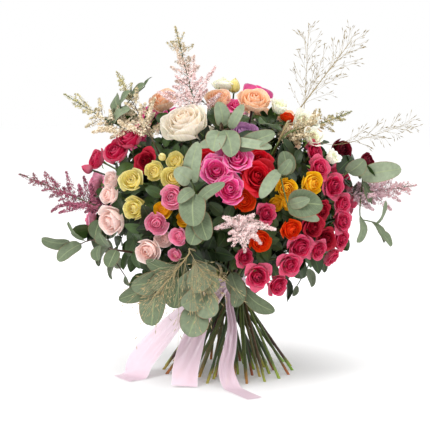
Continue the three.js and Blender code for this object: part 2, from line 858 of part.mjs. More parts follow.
// Eucalyptus
const sprigs = [
  {
    name: "eucalyptus_crown",
    leaves: [
      frontLeaf(dome(12, 142, 14), 100, 42, 24, 10),
      frontLeaf(dome(8, 134, 16), 250, 42, 30, 30),
      frontLeaf(dome(16, 136, 18), 285, 48, 32, 20),
      frontLeaf(dome(24, 138, 14), 62, 46, 17, 10),
      frontLeaf(dome(22, 128, 12), 355, 70, 18, 0),
      frontLeaf(dome(18, 126, 10), 200, 44, 18, 0),
      frontLeaf(dome(30, 120, 4), 20, 66, 30, 0),
    ],
  },
  {
    name: "eucalyptus_centre_left",
    leaves: [
      frontLeaf(dome(-36, 50, 8), 82, 68, 26, 5),
      frontLeaf(dome(-38, 54, 12), 140, 38, 28, 20),
      frontLeaf(dome(-34, 40, 12), 215, 34, 18, 20),
      frontLeaf(dome(-34, 34, 10), 270, 52, 40, 15),
      frontLeaf(dome(-28, 20, 6), 38, 56, 17, 10),
      frontLeaf(dome(-24, 6, 4), 285, 46, 30, 10),
      frontLeaf(dome(-20, -6, 2), 245, 44, 32, 10),
    ],
  },
  {
    name: "eucalyptus_centre_right",
    leaves: [
      frontLeaf(dome(112, 62, -8), 95, 40, 30, 0),
      frontLeaf(dome(103, 72, 6), 233, 54, 20, 10),
      frontLeaf(dome(104, 66, 8), 55, 30, 18, 10),
      frontLeaf(dome(116, 16, 8), 4, 58, 42, 15),
      frontLeaf(dome(120, 17, 14), 24, 42, 18, 30),
      frontLeaf(dome(122, 6, 4), 345, 46, 16, 10),
    ],
  },
  {
    name: "eucalyptus_right",
    leaves: [
      frontLeaf(plane(212, 68, -60), 40, 34, 32, 0),
      frontLeaf(plane(232, 62, -40), 12, 66, 32, 0),
      frontLeaf(plane(236, 54, -30), 285, 36, 26, 4),
      frontLeaf(plane(232, -2, -40), 262, 44, 24, 10),
      frontLeaf(plane(250, -10, -30), 300, 40, 18, 0),
      frontLeaf(plane(256, -16, -30), 70, 44, 14, 0),
      frontLeaf(plane(260, -24, -30), 310, 34, 20, 0),
    ],
  },
  {
    name: "eucalyptus_left",
    leaves: [
      frontLeaf(dome(-158, -56, 4), 245, 30, 26, 10),
      frontLeaf(plane(-168, -52, -60), 120, 34, 30, 10),
      frontLeaf(plane(-184, -48, -50), 265, 26, 30, 10),
      frontLeaf(plane(-192, -40, -40), 75, 34, 32, 0),
      frontLeaf(plane(-206, -42, -35), 130, 44, 14, 0),
      frontLeaf(plane(-214, -46, -30), 215, 46, 26, 0),
      frontLeaf(plane(-232, -44, -25), 170, 46, 30, 0),
    ],
  },
  {
    name: "eucalyptus_low_left",
    leaves: [
      frontLeaf(plane(-48, -86, -150), 165, 62, 26, 0),
      frontLeaf(plane(-54, -90, -146), 258, 58, 44, 6),
      frontLeaf(plane(-62, -96, -148), 200, 44, 34, 0),
      frontLeaf(plane(-84, -100, -145), 190, 52, 40, 10),
      frontLeaf(plane(-98, -112, -140), 200, 58, 28, 0),
      frontLeaf(plane(-96, -118, -140), 265, 58, 44, 10),
    ],
  },
  {
    name: "eucalyptus_low_front",
    leaves: [
      frontLeaf(plane(-8, -74, -158), 235, 56, 40, 10),
      frontLeaf(plane(-16, -92, -160), 200, 48, 34, 10),
      frontLeaf(plane(-14, -98, -162), 320, 30, 38, 20),
      frontLeaf(plane(-22, -118, -160), 215, 44, 40, 20),
      frontLeaf(plane(-18, -128, -160), 300, 38, 44, 15),
      frontLeaf(plane(-28, -150, -158), 250, 46, 46, 15),
    ],
  },
  {
    name: "eucalyptus_low_right",
    leaves: [
      frontLeaf(plane(26, -92, -120), 295, 44, 28, 0),
      frontLeaf(plane(36, -100, -118), 265, 46, 26, 0),
      frontLeaf(plane(44, -116, -112), 325, 62, 28, 0),
    ],
  },
].map(frontSprig);

const backSprigs = [
  { name: "eucalyptus_top_left", bearing: 198, elevation: 40, towards: 100, length: 86, pairs: 3 },
  { name: "eucalyptus_back_right", bearing: 40, elevation: -16, towards: 285, length: 96, pairs: 3 },
  { name: "eucalyptus_back_left", bearing: 151, elevation: -12, towards: 247, length: 94, pairs: 3 },
  { name: "eucalyptus_back_middle", bearing: 84, elevation: 16, towards: 200, length: 100, pairs: 4 },
].map(ruledSprig);

// Astilbe plumes
const plumes = [
  {
    name: "astilbe_pale_top",
    colour: "astilbePale",
    heads: [{ from: dome(-26, 150, -20), tip: plane(-64, 302, 0), pairs: 5, reach: 74 }],
  },
  {
    name: "astilbe_cream_left",
    colour: "astilbeCream",
    heads: [
      { from: dome(-126, 122, -10), tip: plane(-242, 194, 0), pairs: 4, reach: 56 },
      { from: dome(-100, 120, -12), tip: plane(-158, 230, 0), pairs: 4, reach: 56 },
    ],
  },
  {
    name: "astilbe_crimson_left",
    colour: "astilbeCrimson",
    heads: [{ from: dome(-170, 6, -30), tip: plane(-314, 66, 0), pairs: 5, reach: 66 }],
  },
  {
    name: "astilbe_pale_front",
    colour: "astilbePale",
    heads: [{ from: dome(44, -8, -4), tip: dome(46, -40, 34), pairs: 5, reach: 46, spread: 1.5, bare: 0 }],
  },
  {
    name: "astilbe_lilac_right",
    colour: "astilbeLilac",
    heads: [{ from: plane(208, 30, -20), tip: plane(323, 48, 0), pairs: 5, reach: 62 }],
  },
  {
    name: "astilbe_beige_right",
    colour: "astilbeBeige",
    heads: [{ from: dome(104, 120, -14), tip: plane(219, 166, 0), pairs: 5, reach: 56 }],
  },
  {
    name: "astilbe_pale_back",
    colour: "astilbePale",
    heads: [{ from: around(76, 44, -10), tip: around(70, 44, 70), pairs: 5, reach: 58 }],
  },
  {
    name: "astilbe_crimson_back",
    colour: "astilbeCrimson",
    heads: [{ from: around(112, -2, -14), tip: around(110, 0, 50), pairs: 5, reach: 54 }],
  },
].map(plume);

// Fountain grass
const grasses = [
  {
    name: "grass_right",
    from: dome(112, 140, 4),
    panicles: [
      { start: plane(128, 160, -20), tip: plane(219, 280, 20), pairs: 5, reach: 70 },
      { start: plane(140, 150, -20), tip: plane(150, 300, 30), pairs: 3, reach: 54 },
      { start: plane(190, 112, -30), tip: plane(314, 147, 0), pairs: 3, reach: 40 },
    ],
  },
  {
    name: "grass_low_front",
    from: dome(-40, -54, 14),
    panicles: [
      { start: dome(-44, -66, 26), tip: plane(-104, -139, -186), pairs: 3, reach: 30 },
      { start: dome(-36, -66, 30), tip: plane(-6, -118, -196), pairs: 3, reach: 30 },
    ],
  },
].map(grass);

// The stems: straight lines through the tie on nested hyperboloids, so that they pass without meeting.
// Above the tie each bends to its branch: the inner rings go up to the crown, the outer ones out and down.
const arrangement = [...frontSprays, ...backSprays, ...sprigs, ...backSprigs, ...plumes, ...grasses];
const TIE_CENTRE = new THREE.Vector3(0, 0, TIE_HEIGHT);
const STRAIGHT_ABOVE = 16;
const ARRIVAL = 24;
const BEND_STEPS = 3;
const TURN_ABOVE = 0.9;
const TURNS_TRIED = 4;

const bearingOf = (point) => Math.atan2(point.y, point.x);

function wrapped(angle) {
  return Math.atan2(Math.sin(angle), Math.cos(angle));
}

// The turn of a ring's slots that brings them nearest to where their branches lie
function bestTurn(members, count) {
  const miss = (turn) =>
    members.reduce((sum, item, index) => {
      const slot = ((index + turn) / count) * 2 * Math.PI + TURN_ABOVE;
      return sum + wrapped(bearingOf(item.junction) - slot) ** 2;
    }, 0);
  const turns = Array.from({ length: TURNS_TRIED * count }, (_, index) => index / TURNS_TRIED);
  return turns.reduce((best, turn) => (miss(turn) < miss(best) ? turn : best));
}

// An item may have a straight of its own, so that its stem bends clear of one that it would cross
function stemOf(item, ring, slot) {
  const angle = (slot / ring.count) * 2 * Math.PI;
  const waist = new THREE.Vector3(Math.cos(angle) * ring.radius, Math.sin(angle) * ring.radius, TIE_HEIGHT);
  const run = new THREE.Vector3(-Math.sin(angle) * ring.slope, Math.cos(angle) * ring.slope, 1);
  const foot = waist.clone().addScaledVector(run, -TIE_HEIGHT);
  const above = waist.clone().addScaledVector(run, item.straight ?? STRAIGHT_ABOVE);
  const arrive = item.junction.clone().sub(HUB).normalize();
  const bend = new THREE.CubicBezierCurve3(
    above,
    above.clone().addScaledVector(run, STRAIGHT_ABOVE),
    item.junction.clone().addScaledVector(arrive, -ARRIVAL),
    item.junction,
  );
  return [foot, ...bend.getPoints(BEND_STEPS)];
}

function withStems(items) {
  const rise = (item) => item.junction.clone().sub(TIE_CENTRE).normalize().z;
  const open = [...items].sort((a, b) => rise(b) - rise(a));
  const paths = new Map();
  for (const ring of STEM_RINGS) {
    const members = open.splice(0, ring.count).sort((a, b) => bearingOf(a.junction) - bearingOf(b.junction));
    const turn = bestTurn(members, ring.count);
    members.forEach((item, index) => paths.set(item, stemOf(item, ring, index + turn)));
  }
  return items.map((item) => ({ ...item, ...item.build(paths.get(item)) }));
}

// The tie: a twine wound round the stems and a ribbon band over it, each turned from a closed profile
const RING_SEGMENTS = 20;

function ringSolid(profile) {
  const rings = Array.from({ length: RING_SEGMENTS }, (_, index) => {
    const angle = (index / RING_SEGMENTS) * 2 * Math.PI;
    return profile.map(([radius, height]) =>
      new THREE.Vector3(Math.cos(angle) * radius, Math.sin(angle) * radius, TIE_HEIGHT + height),
    );
  });
  const sides = profile.length;
  const faces = [];
  for (let ring = 0; ring < RING_SEGMENTS; ring++) {
    for (let side = 0; side < sides; side++) {
      const here = ring * sides + side;
      const next = ring * sides + ((side + 1) % sides);
      const step = (value) => (value + sides) % (RING_SEGMENTS * sides);
      faces.push(here, step(next), next, here, step(here), step(next));
    }
  }
  return solidOf(rings.flat(), faces);
}

const WAIST_RADIUS = STEM_RINGS[STEM_RINGS.length - 1].radius + STEM_RADIUS;
const TWIST_ROOM = 0.5;
const TWINE_INNER = WAIST_RADIUS + CLEARANCE + TWIST_ROOM;
const TWINE_OUTER = TWINE_INNER + TWINE.thickness;
const BAND_INNER = TWINE_OUTER + CLEARANCE;
const BAND_OUTER = BAND_INNER + RIBBON.thickness;

const twine = ringSolid([
  [TWINE_INNER, -TWINE.height / 2],
  [TWINE_OUTER, -TWINE.height / 4],
  [TWINE_OUTER - TWINE.groove, 0],
  [TWINE_OUTER, TWINE.height / 4],
  [TWINE_INNER, TWINE.height / 2],
]);

// A strip of ribbon along a path, with its width laid across each point
function strip(points, thickness) {
  const rings = points.map(({ at, across, width }, index) => {
    const before = points[Math.max(index - 1, 0)].at;
    const after = points[Math.min(index + 1, points.length - 1)].at;
    const forward = after.clone().sub(before).normalize();
    const side = across.clone().normalize();
    const above = forward.clone().cross(side).normalize();
    const corner = (edge, face) =>
      at
        .clone()
        .addScaledVector(side, (edge * width) / 2)
        .addScaledVector(above, (face * thickness) / 2);
    return [corner(-1, -1), corner(1, -1), corner(1, 1), corner(-1, 1)];
  });
  return loft(rings);
}

function tail(rows, grow = 0) {
  const marks = rows.map(([x, y, z, width, turn]) => {
    const angle = THREE.MathUtils.degToRad(turn);
    const across = new THREE.Vector3(Math.cos(angle), Math.sin(angle), 0);
    return { at: new THREE.Vector3(x, y, z), across, width: width + grow };
  });
  return strip(marks, RIBBON.thickness + grow);
}

// Each row of a tail: x, y, z, its width and the bearing of its width in degrees
const FRONT_TAIL = [
  [-1, -BAND_OUTER - 2, 142, 14, 0],
  [2, -46, 112, 18, 10],
  [6, -70, 84, 20, 20],
  [2, -96, 56, 20, 0],
  [-4, -116, 28, 20, -14],
  [4, -136, 5, 22, 0],
  [18, -160, 1, 24, 24],
  [38, -196, 1, 26, 34],
];
const MIDDLE_TAIL = [
  [-6, -BAND_OUTER - 1, 140, 16, -20],
  [-26, -50, 116, 26, -20],
  [-46, -74, 88, 36, -10],
  [-58, -96, 58, 38, 0],
  [-66, -116, 28, 38, 4],
  [-68, -128, 3, 38, 4],
];
const LEFT_TAIL = [
  [-14, -BAND_OUTER + 3, 140, 16, -40],
  [-46, -40, 120, 30, -40],
  [-80, -46, 92, 42, -30],
  [-112, -50, 58, 46, -26],
  [-138, -52, 26, 48, -30],
  [-148, -58, 4, 48, -34],
  [-168, -72, 1, 44, -46],
];

const band = ringSolid([
  [BAND_INNER, -RIBBON.bandHeight / 2],
  [BAND_OUTER, -RIBBON.bandHeight / 2],
  [BAND_OUTER, RIBBON.bandHeight / 2],
  [BAND_INNER, RIBBON.bandHeight / 2],
]);

// The knot: a flattened bar across the front of the band, by its x and its half height
const KNOT = { depth: -BAND_OUTER - 2.5, flatness: 0.35, sides: 6 };
const KNOT_ROWS = [
  [13, 8],
  [7, 12],
  [-7, 12],
  [-13, 8],
];
const KNOT_BASIS = basisAlong(new THREE.Vector3(-1, 0, 0));
const knot = loft(
  KNOT_ROWS.map(([x, half]) =>
    circle(new THREE.Vector3(x, KNOT.depth, TIE_HEIGHT), KNOT_BASIS, half, KNOT.sides).map((point) =>
      point.setY(KNOT.depth + (point.y - KNOT.depth) * KNOT.flatness),
    ),
  ),
);

// The knot and the tails leave the inside of the band free
const inside = ringSolid([
  [TWINE_INNER - CLEARANCE, -RIBBON.bandHeight],
  [BAND_INNER, -RIBBON.bandHeight],
  [BAND_INNER, RIBBON.bandHeight],
  [TWINE_INNER - CLEARANCE, RIBBON.bandHeight],
]);
const tails = [FRONT_TAIL, MIDDLE_TAIL, LEFT_TAIL];
const fronts = [knot, ...tails.map((rows) => tail(rows))];
const ribbonBody = joined([band, ...fronts.map((piece) => piece.subtract(inside))]);
const ribbonRoom = joined([
  ringSolid([
    [BAND_INNER - CLEARANCE, -RIBBON.bandHeight / 2 - CLEARANCE],
    [BAND_OUTER + CLEARANCE, -RIBBON.bandHeight / 2 - CLEARANCE],
    [BAND_OUTER + CLEARANCE, RIBBON.bandHeight / 2 + CLEARANCE],
    [BAND_INNER - CLEARANCE, RIBBON.bandHeight / 2 + CLEARANCE],
  ]),
  knot,
  ...tails.map((rows) => tail(rows, 2 * CLEARANCE)),
]);

// Assembly: stems keep their way, and heads give way to every other stem and to the heads before them
function crossing(one, two) {
  const a = one.boundingBox();
  const b = two.boundingBox();
  return [0, 1, 2].every((axis) => a.min[axis] < b.max[axis] && b.min[axis] < a.max[axis]);
}

const cutBy = (body, rooms) =>
  rooms.filter((room) => crossing(room, body)).reduce((left, room) => left.subtract(room), body);

function fitted(items) {
  return items.map((item, index) => {
    const before = items.slice(0, index);
    const others = items.filter((other) => other !== item);
    const clear = cutBy(item.head, others.map((other) => other.stalkRoom));
    const head = cutBy(clear, before.map((other) => other.headRoom));
    const stalk = item.stalk && cutBy(item.stalk, before.map((other) => other.stalkRoom));
    return { ...item, solid: largestBody(stalk ? stalk.add(head) : head) };
  });
}

function meshOf({ name, colour, solid }) {
  const { vertProperties, triVerts } = solid.getMesh();
  const geometry = new THREE.BufferGeometry();
  geometry.setAttribute("position", new THREE.BufferAttribute(vertProperties, 3));
  geometry.setIndex(new THREE.BufferAttribute(triVerts, 1));
  geometry.computeVertexNormals();
  const material = new THREE.MeshStandardMaterial({ color: COLOURS[colour], roughness: 0.7, metalness: 0 });
  const mesh = new THREE.Mesh(geometry, material);
  mesh.name = name;
  return mesh;
}

const ribbonPiece = { name: "ribbon", colour: "ribbon", solid: ribbonBody, headRoom: ribbonRoom };
const twinePiece = { name: "twine_binding", colour: "twine", solid: twine };
const flowers = fitted(withStems(arrangement));
const clearFlowers = flowers.map((item) => ({ ...item, solid: cutBy(item.solid, [ribbonRoom]) }));

const bouquet = new THREE.Group();
bouquet.add(...[twinePiece, ribbonPiece, ...clearFlowers].map(meshOf));

export default bouquet;
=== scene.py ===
"""A hand-tied mixed bouquet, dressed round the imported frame.

Sizes and places are millimetres in the frame's own axes, with +Z up and the front towards -Y. They turn
to metres where a mesh is made.
"""

from __future__ import annotations

import logging
import math
from dataclasses import dataclass, field, replace
from enum import Enum
from typing import Sequence

import bpy
import numpy as np
from mathutils import Matrix


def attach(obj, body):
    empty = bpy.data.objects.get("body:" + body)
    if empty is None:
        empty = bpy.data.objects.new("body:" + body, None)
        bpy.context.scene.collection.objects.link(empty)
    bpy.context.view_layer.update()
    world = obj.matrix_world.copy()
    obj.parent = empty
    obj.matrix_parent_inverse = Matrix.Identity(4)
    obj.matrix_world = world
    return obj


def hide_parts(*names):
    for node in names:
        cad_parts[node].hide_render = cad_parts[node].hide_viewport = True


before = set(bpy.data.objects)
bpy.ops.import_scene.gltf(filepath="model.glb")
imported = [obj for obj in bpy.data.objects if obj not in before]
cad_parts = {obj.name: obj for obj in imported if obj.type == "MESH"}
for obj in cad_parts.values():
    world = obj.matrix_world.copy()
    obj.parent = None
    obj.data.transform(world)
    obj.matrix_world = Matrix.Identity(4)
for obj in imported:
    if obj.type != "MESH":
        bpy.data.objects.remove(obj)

Array = np.ndarray
Draw = np.random.Generator
Pair = tuple[float, float]

LOG = logging.getLogger("bouquet")
MM = 0.001
SEED = 7
GOLDEN_ANGLE = math.pi * (3 - math.sqrt(5))
RIGHT = np.array([1.0, 0.0, 0.0])
FRONT = np.array([0.0, -1.0, 0.0])
UP = np.array([0.0, 0.0, 1.0])

# Driving dimensions, the same as the frame's own
TIE_HEIGHT = 140.0
STEM_RADIUS = 2.12
HUB = np.array([0.0, 0.0, 168.0])
JUNCTION_SHARE = 0.5
STRAIGHT_ABOVE = 16.0
ARRIVAL = 24.0
TURN_ABOVE = 0.9
TURNS_TRIED = 4
STALK_PITCH = 7.0
STALK_RADIUS = 1.3
CALYX_RADIUS = 2.2
LEAF_RISE = 16.0
LEAF_FACING = 0.6
BLOOM_LEAN = 0.35

# A stem's rows, its taper towards the end, and its swollen nodes in steps
STEM_STEP = 9.0
TAPER_FROM = 0.45
TAPER_RUN = 0.55
TWIG_RADIUS = 0.8
BARK = 1.02
NODE_PITCH = (4, 7)
NODE_LENGTH = 0.4
NODE_SWELL = 0.12

# The range that a wave's phase is drawn from, and the places of the points of a fine branch
PHASES = (0, 6.3)
SHARES = np.linspace(0, 1, 7)[:, None]


def unit(vector: Array) -> Array:
    """The vector at length one."""
    return vector / np.linalg.norm(vector)


def units(vectors: Array) -> Array:
    """The rows of an array at length one."""
    return vectors / np.linalg.norm(vectors, axis=1, keepdims=True)


def lerp(start: float, end: float, share: float) -> float:
    """The value a share of the way from start to end."""
    return start + (end - start) * share


def smooth(low: float, high: float, value: Array) -> Array:
    """A smooth step from 0 at low to 1 at high."""
    share = np.clip((value - low) / (high - low), 0.0, 1.0)
    return share * share * (3 - 2 * share)


def bearing_of(point: Array) -> float:
    """The bearing of a point round the axis, in radians."""
    return math.atan2(point[1], point[0])


@dataclass(frozen=True)
class Basis:
    """Three directions at right angles, the third along an axis."""

    side: Array
    other: Array
    forward: Array

    @staticmethod
    def along(axis: Array, near: Array | None = None) -> "Basis":
        """The basis of an axis.

        Args:
            axis: The direction of the third side.
            near: A direction that the first side stays near to, if there is one.

        Returns:
            The basis.
        """
        forward = unit(axis)
        helper = near if near is not None else (FRONT if abs(forward[2]) > 0.99 else np.cross(UP, forward))
        side = unit(helper - helper.dot(forward) * forward)
        return Basis(side, np.cross(forward, side), forward)

    def turned(self, angle: float) -> "Basis":
        """The basis turned about its third side by an angle in radians."""
        side = self.side * math.cos(angle) + self.other * math.sin(angle)
        return Basis(side, np.cross(self.forward, side), self.forward)

    def place(self, local: Array) -> Array:
        """Local points, in the last axis of the array, in the frame's axes."""
        return local[..., :1] * self.side + local[..., 1:2] * self.other + local[..., 2:3] * self.forward


@dataclass(frozen=True)
class FrontView:
    """The view that places are read in: millimetres across and up from its target."""

    eye: Array
    target: Array
    width: float

    def ray(self, across: float, up: float) -> Array:
        """The direction from the eye to a reading."""
        forward = unit(self.target - self.eye)
        seen = self.target + RIGHT * across + np.cross(RIGHT, forward) * up
        return unit(seen - self.eye)

    def scale(self, point: Array) -> float:
        """How much wider a thing at the point is than it reads at the target."""
        return float(np.linalg.norm(point - self.eye) / np.linalg.norm(self.target - self.eye))


@dataclass(frozen=True)
class FlowerHead:
    """The dome that the blooms lie on."""

    centre: Array
    radii: Array

    def outward(self, point: Array) -> Array:
        """The direction straight out of the dome at a point."""
        return unit((point - self.centre) / self.radii**2)

    def polar(self, bearing: float, elevation: float, lift: float = 0.0) -> Array:
        """A place on the dome.

        Args:
            bearing: Degrees round the axis from +X.
            elevation: Degrees above the level of the centre.
            lift: How far outside the dome it lies.

        Returns:
            The point.
        """
        turn = math.radians(bearing)
        rise = math.radians(elevation)
        ray = np.array([math.cos(turn) * math.cos(rise), math.sin(turn) * math.cos(rise), math.sin(rise)])
        return ray * (self.radii + lift) + self.centre

    def seen(self, view: FrontView, across: float, up: float, lift: float) -> Array:
        """Where a reading meets the dome raised by lift, or passes nearest to it.

        Args:
            view: The view of the reading.
            across: Millimetres to the right.
            up: Millimetres up.
            lift: How far outside the dome it lies.

        Returns:
            The point.
        """
        ray = view.ray(across, up)
        radii = self.radii + lift
        start = (view.eye - self.centre) / radii
        step = ray / radii
        a = step.dot(step)
        b = start.dot(step)
        reach = b * b - a * (start.dot(start) - 1)
        return view.eye + ray * ((-b - math.sqrt(max(reach, 0.0))) / a)


VIEW = FrontView(eye=np.array([-21.0, -2200.0, 520.0]), target=np.array([-21.0, 0.0, 251.0]), width=688.0)
HEAD = FlowerHead(centre=np.array([-13.0, 0.0, 260.0]), radii=np.array([216.0, 200.0, 195.0]))


def dome(across: float, up: float, lift: float = 0.0) -> Array:
    """A reading on the dome."""
    return HEAD.seen(VIEW, across, up, lift)


def plane(across: float, up: float, depth: float) -> Array:
    """A reading on the upright plane at a depth."""
    ray = VIEW.ray(across, up)
    return VIEW.eye + ray * ((depth - VIEW.eye[1]) / ray[1])


def cubic(points: Sequence[Array], t: Array) -> Array:
    """The places of a cubic curve with four control points, at shares of its run."""
    a, b, c, d = points
    return a * (1 - t) ** 3 + 3 * b * t * (1 - t) ** 2 + 3 * c * t**2 * (1 - t) + d * t**3


def bezier(points: Sequence[Array], steps: int) -> Array:
    """Points at even steps along a cubic curve."""
    return cubic(points, np.linspace(0.0, 1.0, steps + 1)[:, None])


def catmull(points: Sequence[Array], steps: int) -> Array:
    """A smooth line through the points, with a number of steps between each two."""
    line = [2 * points[0] - points[1], *points, 2 * points[-1] - points[-2]]
    out = []
    for before, start, end, after in zip(line, line[1:], line[2:], line[3:]):
        controls = (start, start + (end - before) / 6, end - (after - start) / 6, end)
        out.extend(bezier(controls, steps)[:-1])
    return np.array([*out, points[-1]])


class Layer(Enum):
    """Which finish of a piece a face wears."""

    FIRST = 0
    SECOND = 1
    THIRD = 2


TRAITS = ("along", "across", "depth", "tint")


class MeshDraft:
    """Skins that become one mesh.

    Each point carries the traits that its finish reads. They run from 0 to 1, and across from -1 to 1.
    """

    def __init__(self) -> None:
        """Starts with no points."""
        self.points: list[Array] = []
        self.traits: list[Array] = []
        self.skins: list[tuple[Array, Layer]] = []
        self.count = 0

    def faces(
        self, points: Array, corners: Array, layer: Layer = Layer.FIRST, **traits: Array | float
    ) -> None:
        """Adds points and the faces between them.

        Args:
            points: The points, one to a row.
            corners: The faces, with three or four point numbers to a row.
            layer: The finish of the faces.
            **traits: A number, or one for each point.
        """
        columns = [np.broadcast_to(traits.get(name, 0.0), (len(points),)) for name in TRAITS]
        self.traits.append(np.stack(columns, axis=1))
        self.points.append(points)
        self.skins.append((corners + self.count, layer))
        self.count += len(points)

    def grid(
        self, points: Array, layer: Layer = Layer.FIRST, closed: bool = False, **traits: Array | float
    ) -> None:
        """Adds a skin over rows and columns of points.

        Args:
            points: Rows by columns by three.
            layer: The finish of its faces.
            closed: Whether the last column joins the first.
            **traits: A number, or one for each row and column.
        """
        rows, columns = points.shape[:2]
        flat = {name: np.broadcast_to(value, (rows, columns)).reshape(-1) for name, value in traits.items()}
        across = np.arange(columns if closed else columns - 1)
        down = np.arange(rows - 1)[:, None] * columns
        here, right = down + across, down + (across + 1) % columns
        corners = np.stack([here, right, right + columns, here + columns], axis=-1).reshape(-1, 4)
        self.faces(points.reshape(-1, 3), corners, layer, **flat)

    def tube(
        self,
        path: Array,
        radii: Array | float,
        sides: int = 6,
        layer: Layer = Layer.FIRST,
        level: float | None = None,
        **traits: Array | float,
    ) -> None:
        """Adds a bar along a path, with its ends closed.

        Args:
            path: The points that it follows.
            radii: Its radius, or one for each point.
            sides: How many sides it has.
            layer: The finish of its faces.
            level: The height of a level first end, if it has one.
            **traits: Numbers for all its points.
        """
        widths = np.broadcast_to(radii, (len(path),))
        steps = np.gradient(path, axis=0)
        angles = np.arange(sides) / sides * math.tau
        near = None
        rings = []
        for point, step, width in zip(path, steps, widths):
            basis = Basis.along(step, near)
            near = basis.side
            ring = np.stack([np.cos(angles) * width, np.sin(angles) * width, 0 * angles], axis=1)
            rings.append(point + basis.place(ring))
        if level is not None:
            forward = unit(steps[0])
            rings[0] = rings[0] + forward * ((level - rings[0][:, 2:3]) / forward[2])
        lengths = np.linspace(0.0, 1.0, len(path))[:, None]
        self.grid(np.array(rings), layer, closed=True, along=lengths, **traits)
        fan = np.array([[side, (side + 1) % sides, sides] for side in range(sides)])
        for ring, turn, along in ((rings[0], fan[:, ::-1], 0.0), (rings[-1], fan, 1.0)):
            self.faces(np.vstack([ring, ring.mean(axis=0)]), turn, layer, along=along, depth=1.0, **traits)

    def build(self, name: str, finishes: Sequence[bpy.types.Material]) -> bpy.types.Object:
        """Makes the piece in metres.

        Args:
            name: The piece's name.
            finishes: Its materials, one for each layer.

        Returns:
            The object, in the scene.
        """
        mesh = bpy.data.meshes.new(name)
        points = np.vstack(self.points) * MM
        # Faces of four corners come before those of three
        skins = sorted(self.skins, key=lambda skin: -skin[0].shape[1])
        corners = np.concatenate([faces.reshape(-1) for faces, _ in skins])
        sizes = np.concatenate([np.full(len(faces), faces.shape[1]) for faces, _ in skins])
        layers = np.concatenate([np.full(len(faces), layer.value) for faces, layer in skins])
        mesh.vertices.add(len(points))
        mesh.vertices.foreach_set("co", points.reshape(-1))
        mesh.loops.add(len(corners))
        mesh.loops.foreach_set("vertex_index", corners)
        mesh.polygons.add(len(sizes))
        mesh.polygons.foreach_set("loop_start", np.cumsum(sizes) - sizes)
        mesh.polygons.foreach_set("material_index", layers)
        mesh.polygons.foreach_set("use_smooth", np.ones(len(sizes), bool))
        mesh.update(calc_edges=True)
        traits = np.vstack(self.traits)
        for column, trait in enumerate(TRAITS):
            attribute = mesh.attributes.new(trait, "FLOAT", "POINT")
            attribute.data.foreach_set("value", traits[:, column].astype(np.float32))
        for finish in finishes:
            mesh.materials.append(finish)
        piece = bpy.data.objects.new(name, mesh)
        bpy.context.scene.collection.objects.link(piece)
        return piece


def linear(colour: str) -> tuple[float, float, float, float]:
    """An sRGB hex colour as linear red, green, blue and alpha."""
    parts = [int(colour[index : index + 2], 16) / 255 for index in (1, 3, 5)]
    return (*(c / 12.92 if c <= 0.04045 else ((c + 0.055) / 1.055) ** 2.4 for c in parts), 1.0)


# The output that gives a node's result, where it isn't the first
RESULT_OUTPUTS = {"ShaderNodeMix": 2}
COLOUR_MIX = {"data_type": "RGBA", "clamp_factor": True}
# Inputs 0 to 4 of a Map Range node are the value, the range that it comes from and the range that it
# goes to. Inputs 0, 6 and 7 of a colour Mix node are the second colour's share and the two colours.


class Shader:
    """A material's nodes while they are put together."""

    def __init__(self, name: str) -> None:
        """Starts with an output alone."""
        self.material = bpy.data.materials.new(name)
        self.material.use_nodes = True
        self.tree = self.material.node_tree
        self.tree.nodes.clear()
        self.output = self.tree.nodes.new("ShaderNodeOutputMaterial")

    def node(self, kind: str, inputs: dict[str | int, object], **settings: object) -> bpy.types.Node:
        """Adds a node with its settings and links.

        Args:
            kind: The node's type, without the words that begin every shader node's.
            inputs: For each input a value, a socket, or a node whose result it takes.
            **settings: Its properties. The setting ramp is a list of places and colours.

        Returns:
            The node.
        """
        made = self.tree.nodes.new(f"ShaderNode{kind}")
        for key, value in settings.items():
            if key == "ramp":
                stops = made.color_ramp.elements
                while len(stops) < len(value):
                    stops.new(0.5)
                for stop, (place, colour) in zip(stops, value):
                    stop.position = place
                    stop.color = linear(colour)
            else:
                setattr(made, key, value)
        for key, value in inputs.items():
            if isinstance(value, bpy.types.Node):
                value = value.outputs[RESULT_OUTPUTS.get(value.bl_idname, 0)]
            if isinstance(value, bpy.types.NodeSocket):
                self.tree.links.new(value, made.inputs[key])
            else:
                made.inputs[key].default_value = value
        return made

    def trait(self, name: str) -> bpy.types.NodeSocket:
        """The socket of a trait that the mesh carries."""
        return self.node("Attribute", {}, attribute_name=name).outputs["Fac"]

    def finish(self, surface: bpy.types.Node) -> bpy.types.Material:
        """Links the surface to the output, and returns the material."""
        self.tree.links.new(surface.outputs[0], self.output.inputs["Surface"])
        return self.material


